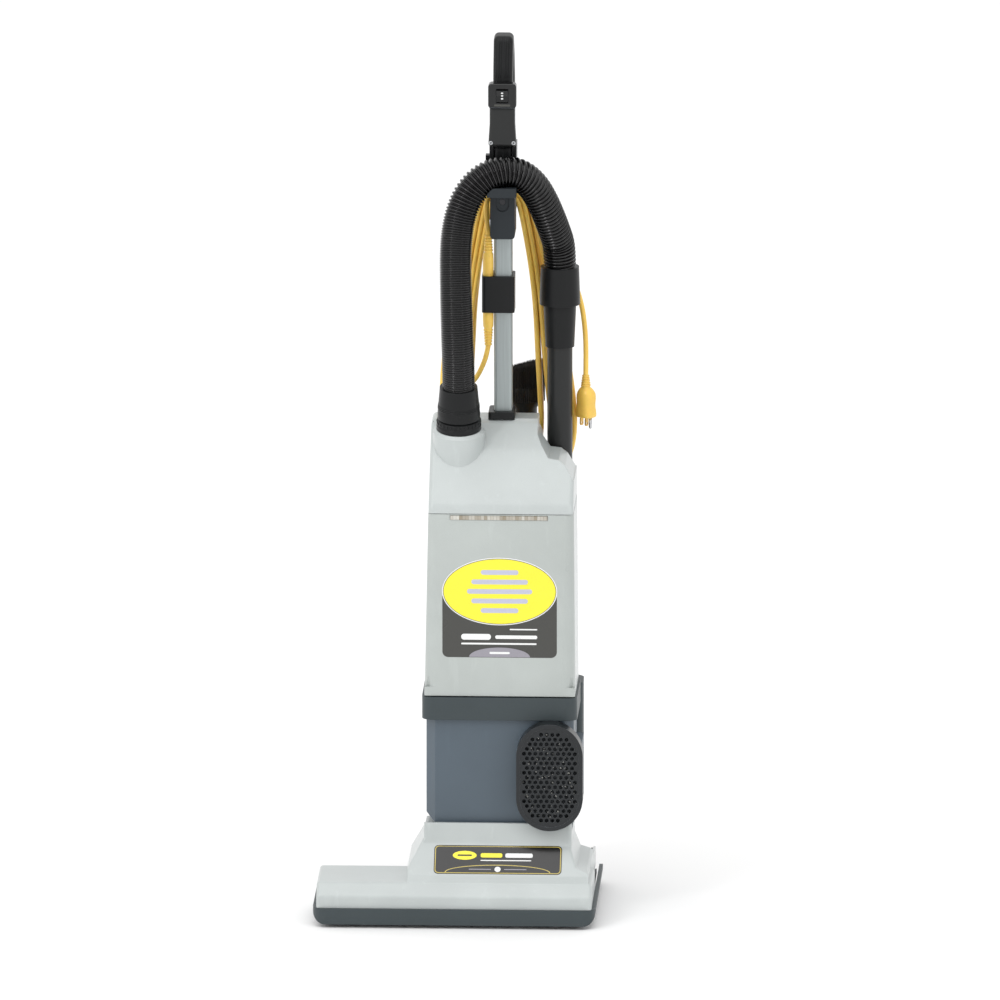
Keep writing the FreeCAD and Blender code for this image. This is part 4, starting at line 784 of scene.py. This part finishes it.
coupler_low, coupler_high = lowest("mains_coupler"), highest("mains_coupler")
coupler_axis = ((coupler_low.x + coupler_high.x) / 2, (coupler_low.y + coupler_high.y) / 2, 0)
clip_middle = (lowest("connector_clip").z + highest("connector_clip").z) / 2
for label, sign, start in (("low", 1, coupler_low.z), ("high", -1, coupler_high.z)):
    profile = connector_profile(sign, start, abs(clip_middle - start))
    half = lathed("coupler_" + label, profile, coupler_axis, (0, 0, 1), FINISH["cord_yellow"])
    dress(half, "upright", "cord_yellow")
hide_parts("mains_coupler")


# The plug hangs blades down; it is turned about its own axis, so that its face looks past the camera.
PLUG_AXIS = Vector((0.172, 0.09, 0.0))
PLUG_TURN = Matrix.Rotation(math.radians(-38), 3, "Z")


def plug_place(across, deep, height):
    """A point given in the turned plug's own directions."""
    return PLUG_AXIS + PLUG_TURN @ Vector((across, deep, 0)) + Vector((0, 0, height))


def plug_section(height, half_wide, half_deep, shift=0, corner=2):
    """One rounded ring of the plug's moulding."""
    ring = []
    for angle in circle(40):
        across, deep = squarish(angle, half_wide, half_deep, corner)
        ring.append(plug_place(across + shift, deep, height))
    return ring


def plug_blade(middle, face):
    """A flat chamfered blade with a round hole, its sides filled between outline and hole."""
    half, length, half_thick = 0.0032, 0.0135, 0.00075
    hole, hole_radius = (0, -0.0095), 0.0014
    outline = [
        (-half, 0.001), (half, 0.001), (half, 0.0016 - length), (half - 0.0014, -length),
        (0.0014 - half, -length), (-half, 0.0016 - length),
    ]
    angles = circle(12)
    rim = oval(hole, hole_radius, hole_radius, angles)
    corners = []
    for beyond in oval(hole, 2 * length, 2 * length, angles):
        edges = zip(outline, outline[1:] + outline[:1])
        met = [intersect_line_line_2d(hole, beyond, a, b) for a, b in edges]
        corners.append(next(tuple(place) for place in met if place is not None))
    loops = ((-half_thick, corners), (-half_thick, rim), (half_thick, rim), (half_thick, corners))
    vertices = []
    for thick, loop in loops:
        vertices += [plug_place(middle + thick, across, face + height) for across, height in loop]
    count = len(angles)
    faces = []
    for loop in range(len(loops)):
        a = loop * count
        b = (loop + 1) % len(loops) * count
        for index in range(count):
            following = (index + 1) % count
            faces.append((a + index, a + following, b + following, b + index))
    return mesh_piece("blade", vertices, faces, BRASS, smooth=False)


def make_plug():
    """Moulded three-pin plug: ribbed relief, swelling grip, two brass blades with holes, and a round pin."""
    top = highest("cord_plug").z
    rings = [plug_section(top + 0.0005, 0.0036, 0.0036)]
    relief = 0.0165
    ribs = 5
    for rib in range(ribs):
        for share, swell in ((0.05, -0.0006), (0.2, 0.0007), (0.65, 0.0007), (0.85, -0.0006)):
            fall = (rib + share) * relief / ribs
            half = 0.0042 + 0.0022 * fall / relief + swell
            rings.append(plug_section(top - fall, half, half))
    # Fall from the top, half width, half depth, shift sideways and squareness.
    body = (
        (0.018, 0.007, 0.0066, 0, 2.2), (0.0202, 0.0092, 0.0085, 0.0002, 2.4),
        (0.023, 0.0112, 0.0096, 0.0006, 2.6), (0.0268, 0.0128, 0.0105, 0.0008, 2.8),
        (0.033, 0.0131, 0.0107, 0.0008, 3), (0.039, 0.0126, 0.0104, 0.0006, 3),
        (0.045, 0.0126, 0.0106, 0.0004, 3), (0.05, 0.0132, 0.0111, 0.0004, 3.2),
        (0.055, 0.0135, 0.0114, 0.0004, 3.4), (0.058, 0.0134, 0.0112, 0.0004, 3.4),
        (0.0592, 0.0126, 0.0104, 0.0004, 3.4),
    )
    for fall, *section in body:
        rings.append(plug_section(top - fall, *section))
    rings.reverse()
    moulding = lofted("plug_moulding", rings, FINISH["cord_yellow"])
    dress(moulding, "upright", "cord_yellow", "cord_plug")
    face = top - 0.059
    blades = [plug_blade(middle, face) for middle in (-0.0075, 0.0015)]
    pin_profile = [(0.001, 0.0), (0.001, 0.0023), (-0.0138, 0.0023), (-0.0158, 0.0016), (-0.0165, 0.0)]
    pin = lathed("plug_pin", pin_profile, plug_place(0.0085, 0.0, face), (0, 0, 1), NICKEL, sides=20)
    dress(pin, "upright", "steel")
    blade_pair = joined("plug_blades", blades)
    dress(blade_pair, "upright", "steel")
    return [moulding, blade_pair, pin]


plug_pieces = make_plug()

HOSE_ROUTE = [
    (1, -22.8, 735.1), (1, -28.2, 766), (-0.5, -30.5, 806), (-2, -28.5, 848), (-3, -24, 888),
    (-3.5, -18, 925), (-1, -12.5, 957), (5.5, -8.5, 984), (17, -5, 1007.5), (35, -1.5, 1025.5),
    (59, 3, 1033.5), (82, 8, 1030.5), (101.5, 16, 1013), (114, 26, 989), (123.5, 38, 963),
    (131, 52, 938), (137, 66, 914.5), (137, 70, 886.4),
]
HOSE_STEP = 0.0005
HOSE_CREST = HOSE_WIDTH / 2
HOSE_GROOVE = 0.0034
TIGHT_PITCH = 0.0032
OPEN_PITCH = 0.0054
# Where along its length the hose begins to open out, and over what share of it.
OPENING_START = 0.4
OPENING_LENGTH = 0.14


def make_hose():
    """Stretch hose with one helical rib: closed up on the left leg, opened out over the arch."""
    places, directions, step = centreline(in_metres(HOSE_ROUTE), HOSE_STEP)
    last = len(places) - 1
    turns = []
    wound = 0.0
    for index in range(last + 1):
        opened = min(1.0, max(0.0, (index / last - OPENING_START) / OPENING_LENGTH))
        opened = opened * opened * (3 - 2 * opened)
        wound += step / (TIGHT_PITCH + (OPEN_PITCH - TIGHT_PITCH) * opened)
        turns.append((wound, opened))

    def outline(index, share):
        wound, opened = turns[index]
        phase = (wound - share) % 1.0
        crest = 0.5 - 0.5 * math.cos(2 * math.pi * phase)
        depth = HOSE_GROOVE * (0.55 + 0.45 * opened)
        return HOSE_CREST - depth * (1 - crest ** 0.6)

    hose = sweep("stretch_hose", places, directions, outline, HOSE_RUBBER, sides=40)
    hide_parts("suction_hose")
    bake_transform(hose)


make_hose()


# ---- CAD nodes: finishes

for node in NODES.values():
    for material_slot in node.material_slots:
        material_slot.material = FINISH[material_slot.material.name.split(".")[0]]

TYRE_RADIUS = 0.022
wheel_middle = (lowest("rear_wheel_left") + highest("rear_wheel_left")) / 2
wheel_look = wheel_finish("rear_wheel", wheel_middle.yz, TYRE_RADIUS, srgb(32, 32, 33), srgb(98, 102, 106))
NODE_FINISH.update(rear_wheel_left=wheel_look, rear_wheel_right=wheel_look)
for name, finish in NODE_FINISH.items():
    NODES[name].material_slots[0].material = finish


# ---- labels

FILM_STEP = 0.00006


def lay_films(face, prefix, body, films, lift, stacked, gap, rings):
    """Lays films on a face: the first few, as many as stacked, on each other, and the rest a gap above."""
    for index, (name, outline, ink) in enumerate(films):
        height = lift + FILM_STEP * min(index, stacked) + (gap if index > stacked else 0)
        film = face.decal(prefix + name, outline, height, INK[ink], rings[index >= stacked])
        dress(film, body, "light_shell")


def make_door_label():
    """Generic printed panel on the door: a dark field, a yellow oval with bars, plain strips for text."""
    low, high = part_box("bag_door")
    face = Face(["bag_door"], ((low.x + high.x) / 2, low.y, 0))
    base, oval_height = 0.3655, 0.459
    centre = (0, oval_height)
    films = [
        ("panel", rounded_box(-0.079, 0.079, base, oval_height, 0.008), "dark"),
        ("oval_edge", oval(centre, 0.0795, 0.0478), "white"),
        ("oval_line", oval(centre, 0.0782, 0.0465), "dark"),
        ("oval", oval(centre, 0.0774, 0.0457), "yellow"),
        ("half_moon", oval((0, base + 0.0006), 0.042, 0.0135, half_circle(40)), "grey"),
    ]
    bars = ((0.026, 0.027), (0.039, 0.0135), (0.045, 0), (0.039, -0.0135), (0.026, -0.027))
    thick = 0.0034
    for index, (half, rise) in enumerate(bars):
        middle = oval_height + rise
        outline = rounded_box(-half, half, middle - thick, middle + thick, 0.0033)
        films.append((f"oval_bar_{index}", outline, "lilac"))
    strips = (
        (0.014, 0.052, 0.4045, 0.4063), (-0.053, -0.012, 0.3905, 0.3988), (-0.006, 0.052, 0.392, 0.397),
        (-0.053, 0.051, 0.3838, 0.3862), (-0.014, 0.014, 0.3705, 0.3735),
    )
    for index, (left, right, bottom, top) in enumerate(strips):
        outline = rounded_box(left, right, bottom, top, (top - bottom) * 0.45)
        films.append((f"strip_{index}", outline, "white"))
    lay_films(face, "door_", "door", films, 0.00012, 4, 0.00008, (10, 3))


def make_head_label():
    """Generic printed plate on the floor head's sloping front."""
    front, back = Vector((0.059, -0.13, 0.068)), Vector((0.059, -0.094, 0.104))
    face = Face(["nozzle_cover"], (front + back) / 2, up=back - front)
    half_wide, half_high = 0.0882, 0.0232

    def inset(edge, radius):
        """The plate's outline, drawn in from its edge."""
        return rounded_box(edge - half_wide, half_wide - edge, edge - half_high, half_high - edge, radius)

    films = [
        ("plate", inset(0, 0.006), "black"),
        ("border", inset(0.0012, 0.0052), "gold"),
        ("field", inset(0.0023, 0.0044), "black"),
        ("arc", oval((0, 0.0026 - half_high), 0.073, 0.0125, half_circle(48)), "gold"),
        ("arc_field", oval((0, 0.0024 - half_high), 0.0715, 0.0115, half_circle(48)), "black"),
        ("spot", oval((-0.046, 0.0068), 0.0165, 0.0072, circle(32)), "yellow"),
        ("spot_bar", rounded_box(-0.056, -0.036, 0.0056, 0.008, 0.0011), "black"),
        ("bar_left", rounded_box(-0.024, 0.006, 0.0035, 0.0105, 0.0026), "yellow"),
        ("bar_right", rounded_box(0.01, 0.048, 0.0035, 0.0105, 0.0026), "white"),
        ("line", rounded_box(-0.024, 0.046, -0.002, -0.0004, 0.0007), "white"),
        ("dot", oval((0, -0.0155), 0.0042, 0.0042, circle(24)), "white"),
        ("dash_left", rounded_box(-0.04, -0.009, -0.0164, -0.015, 0.0006), "grey"),
        ("dash_right", rounded_box(0.009, 0.04, -0.0164, -0.015, 0.0006), "grey"),
    ]
    lay_films(face, "head_", "floor_head", films, 0.0003, 5, 0.00007, (4, 4))


make_door_label()
make_head_label()


# ---- brushes


def tuft(places, root, tip, spread, strands, width, seed):
    """Adds the vertices of one tuft of tapering three-sided strands to places, and returns their faces."""
    chance = random.Random(seed)
    along = (tip - root).normalized()
    side = along.orthogonal().normalized()
    across = along.cross(side)
    faces = []
    for _ in range(strands):
        angle = chance.uniform(0, 2 * math.pi)
        out = spread * math.sqrt(chance.random()) * outward(angle, side, across)
        end = tip + out - along * chance.uniform(0, 0.12) * (tip - root).length
        start = len(places)
        for middle, thick in ((root + out * 0.55, width), (end, width * 0.6)):
            places += [middle + thick * outward(turn, side, across) for turn in circle(3)]
        for turn in range(3):
            following = (turn + 1) % 3
            faces.append((start + turn, start + following, start + 3 + following, start + 3 + turn))
        faces.append((start + 2, start + 1, start))
        faces.append((start + 3, start + 4, start + 5))
    return faces


def make_floor_bristles():
    """Four rows of nylon tufts set into the brush roll."""
    low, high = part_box("brush_roll")
    axis_y, axis_z = (low.y + high.y) / 2, (low.z + high.z) / 2
    left, right = lowest("brush_bristles").x, highest("brush_bristles").x
    core, reach, spacing, margin = 0.0165, 0.0248, 0.0075, 0.004
    count = int((right - left - 2 * margin) / spacing)
    places, faces = [], []
    for row in range(4):
        angle = math.radians(45 + 90 * row)
        out = Vector((0, math.cos(angle), math.sin(angle)))
        for index in range(count + 1):
            middle = Vector((left + margin + index * spacing, axis_y, axis_z))
            seed = row * 1000 + index
            faces += tuft(places, middle + out * core, middle + out * reach, 0.0021, 14, 0.00028, seed)
    bristles = mesh_piece("floor_bristle_tufts", places, faces, FINISH["bristle"], smooth=False)
    dress(bristles, "brush", "bristle", "brush_bristles")


def make_dusting_brush():
    """Oval dusting brush: a moulded head on a round neck, with a thick mane of dark hair standing up."""
    low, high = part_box("dusting_brush")
    middle = (low + high) / 2
    half_wide, half_deep = (high.x - low.x) / 2 - 0.0006, (high.y - low.y) / 2 - 0.0006
    outer, bore = 0.0165, 0.0144
    # Heights above the neck's end, with the half width and half depth at each.
    profile = (
        (0.049, bore, bore), (0.001, bore, bore), (0, bore + 0.0008, bore + 0.0008),
        (0, outer - 0.0006, outer - 0.0006), (0.0012, outer, outer), (0.024, outer, outer),
        (0.029, half_wide * 0.8, half_deep * 0.96), (0.035, half_wide * 0.96, half_deep),
        (0.045, half_wide, half_deep), (0.052, half_wide, half_deep),
        (0.053, half_wide - 0.0012, half_deep - 0.0012),
    )
    rings = [
        [Vector((*point, low.z + height)) for point in oval((middle.x, middle.y), wide, deep, circle(48))]
        for height, wide, deep in profile
    ]
    head = lofted("dusting_brush_head", rings, FINISH["black_plastic"])
    dress(head, "duster", "black_plastic", "dusting_brush")
    tip_low, tip_high = high.z - 0.014, high.z - 0.0006
    places, faces = [], []

    def plant(x, y, root_share, root_height, tip_share, spread, strands, seed):
        """One tuft at x, y from the middle, whose tip follows the slope of the trimmed hair."""
        trim = tip_low + (tip_high - tip_low) * (0.5 + 0.5 * x / half_wide)
        tip = Vector((middle.x + x * tip_share, middle.y + y * tip_share, trim))
        root = Vector((middle.x + x * root_share, middle.y + y * root_share, low.z + root_height))
        return tuft(places, root, tip, spread, strands, 0.00034, seed)

    rows = ((0.94, 46), (0.76, 40), (0.56, 30), (0.34, 20), (0.12, 8))
    for row, (share, count) in enumerate(rows):
        for index in range(count):
            angle = 2 * math.pi * (index + 0.5 * (row % 2)) / count
            x, y = share * half_wide * math.cos(angle) * 0.96, share * half_deep * math.sin(angle) * 0.94
            faces += plant(x, y, 0.94, 0.051, 1.0, 0.0017, 14, 5000 + row * 100 + index)
    for index, (x, y) in enumerate(oval((0, 0), half_wide, half_deep)):
        faces += plant(x, y, 1.0, 0.033, 0.985, 0.0013, 12, 7000 + index)
    mane = mesh_piece("dusting_brush_hair", places, faces, HORSEHAIR, smooth=False)
    dress(mane, "duster", "bristle")


make_floor_bristles()
make_dusting_brush()


# ---- handle and casing details

HANDLE_MIDDLE = 0.06
PORT = Vector((0.001, -0.012, 0.674))
PORT_LEAN = math.radians(10)
PORT_AXIS = Vector((0, -math.sin(PORT_LEAN), math.cos(PORT_LEAN)))


def make_grip_ribs():
    """Fine upright ribs moulded into the front of the grip, on both sides of its parting line."""
    handle = Face(["handle_left", "handle_right"], (HANDLE_MIDDLE, 0, 0))
    low, high, spacing = 1.1605, 1.2135, 0.0031
    last = 10

    def outline(ring, _share):
        return 0.0009 * min(1.0, 0.25 + 0.75 * min(ring, last - ring))

    ribs = []
    for place in (-3, -2, -1, 1, 2, 3):
        length = high - 0.004 * abs(place) / 3 - low
        line = [handle.point(place * spacing, low + length * step / last, 0.0001) for step in range(last + 1)]
        directions = [(b - a).normalized() for a, b in zip(line, line[1:])]
        directions.append(directions[-1])
        ribs.append(sweep("rib", line, directions, outline, FINISH["black_plastic"], sides=10))
    dress(joined("grip_ribs", ribs), "upright", "black_plastic")


def make_switch_details():
    """Pale marks on the switch rocker, a blank plate below it and the pale joint line of its housing."""
    rocker = Face(["switch_rocker"], (HANDLE_MIDDLE, 0, 0))
    for index, height in enumerate((1.1365, 1.1405, 1.1445)):
        mark = oval((0, height), 0.0016, 0.0011, circle(20))
        film = rocker.decal(f"rocker_mark_{index}", mark, 0.00025, INK["white"], 2)
        dress(film, "rocker", "gloss_black")
    housing = Face(["switch_housing"], (HANDLE_MIDDLE, 0, 0))
    blank = rounded_box(-0.011, 0.011, 1.1255, 1.1285, 0.0008)
    dress(housing.decal("blank_plate", blank, 0.0003, INK["dark"], 3), "upright", "gloss_black")
    low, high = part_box("switch_housing")
    joint_low = (low.x + 0.0015, low.y + 0.0012, low.z - 0.0007)
    joint_high = (high.x - 0.0015, high.y, low.z - 0.00005)
    rim = bar("housing_joint", joint_low, joint_high, FINISH["wheel_grey"], 0.0002)
    dress(rim, "upright", "gloss_black")


def make_eyelets():
    """Bright hollow rivets in the two holes of the front cover."""
    front = lowest("handle_shroud").y
    spacing, height = 0.0156, 1.0735
    profile = [
        (-0.004, 0.0011), (0.0006, 0.0011), (0.0011, 0.0017), (0.0009, 0.0026), (0.0002, 0.003),
        (0.0, 0.0019), (-0.004, 0.0019),
    ]
    for side in (-1, 1):
        place = (HANDLE_MIDDLE + side * spacing, front, height)
        dress(lathed("eyelet", profile, place, (0, -1, 0), FINISH["steel"], 28), "upright", "gloss_black")


def make_cuff_rings():
    """Fine grip rings round the hose cuff, which narrows upwards."""
    foot_height, foot_radius, taper = 0.024, 0.0294, 0.0034 / 0.038
    first, pitch, thick = 0.031, 0.0022, 0.001
    for index in range(3):
        height = first + index * pitch
        radius = foot_radius - taper * (height - foot_height)
        inner, outer = radius - 0.002, radius + 0.0004
        profile = [(height, inner), (height, outer), (height + thick, outer), (height + thick, inner)]
        ring = lathed(f"cuff_ring_{index}", profile, PORT, PORT_AXIS, FINISH["black_plastic"], 64)
        dress(ring, "upright", "black_plastic")


def make_lock_ribs():
    """Finger ribs round the lock ring."""
    across = Vector((1, 0, 0))
    deep = PORT_AXIS.cross(across).normalized()
    heights = (0.0088, 0.0105, 0.012, 0.0135)

    def outline(ring, _share):
        return 0.0008 if 0 < ring < len(heights) - 1 else 0.0004

    ribs = []
    for angle in circle(30):
        foot = PORT + outward(angle, across, deep) * 0.0302
        line = [foot + PORT_AXIS * height for height in heights]
        directions = [PORT_AXIS] * len(line)
        ribs.append(sweep("lock_rib", line, directions, outline, FINISH["black_plastic"], sides=8))
    dress(joined("lock_ribs", ribs), "lock_ring", "black_plastic")


make_grip_ribs()
make_switch_details()
make_eyelets()
make_cuff_rings()
make_lock_ribs()


# ---- filter bag


def make_filter_bag():
    """Paper bag that sags in its chamber: pleated sides, a folded foot and a stiff card collar."""
    low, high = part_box("filter_bag")
    middle = (low + high) / 2
    collar_low = high.z - 0.006
    bag_low = low.z + 0.001
    levels = 46
    chance = random.Random(11)
    waves = [(chance.uniform(0, 6.28), chance.uniform(0.6, 1.4)) for _ in range(5)]
    rings = []
    for level in range(levels + 1):
        share = level / levels
        fullness = math.sin(math.pi * min(1.0, 0.12 + 0.8 * share)) ** 0.35
        if share < 0.05:
            fullness *= 0.55 + 9 * share
        half_wide = (high.x - low.x) / 2 * fullness - 0.0015
        half_deep = (high.y - low.y) / 2 * fullness - 0.0015
        closing = max(0.0, (share - 0.94) / 0.06)
        half_wide -= 0.012 * closing
        half_deep -= 0.004 * closing
        ring = []
        for angle in circle(96):
            cosine, sine = math.cos(angle), math.sin(angle)
            x, y = squarish(angle, half_wide, half_deep, 4.5)
            gusset = math.exp(-((y / 0.011) ** 2)) * (1 if abs(cosine) > 0.6 else 0)
            x -= math.copysign(0.014 * gusset * min(1, 3 * share), cosine)
            crease = sum(math.sin(38 * share * rate + phase + 2.2 * angle * rate) for phase, rate in waves)
            inward = 0.00055 * crease + 0.0028
            place = (middle.x + x - inward * cosine, middle.y + y - inward * sine)
            ring.append(Vector((*place, bag_low + (collar_low - bag_low) * share)))
        rings.append(ring)
    bag = lofted("paper_bag", rings, FINISH["bag_paper"])
    collar_high = high.z - 0.0012
    collar = bar(
        "bag_collar", (-0.018, -0.026, collar_low), (0.062, 0.036, collar_high), FINISH["bag_paper"], 0.0008
    )
    dress(bag, "upright", "bag_paper", "filter_bag")
    dress(collar, "upright", "bag_paper")


make_filter_bag()
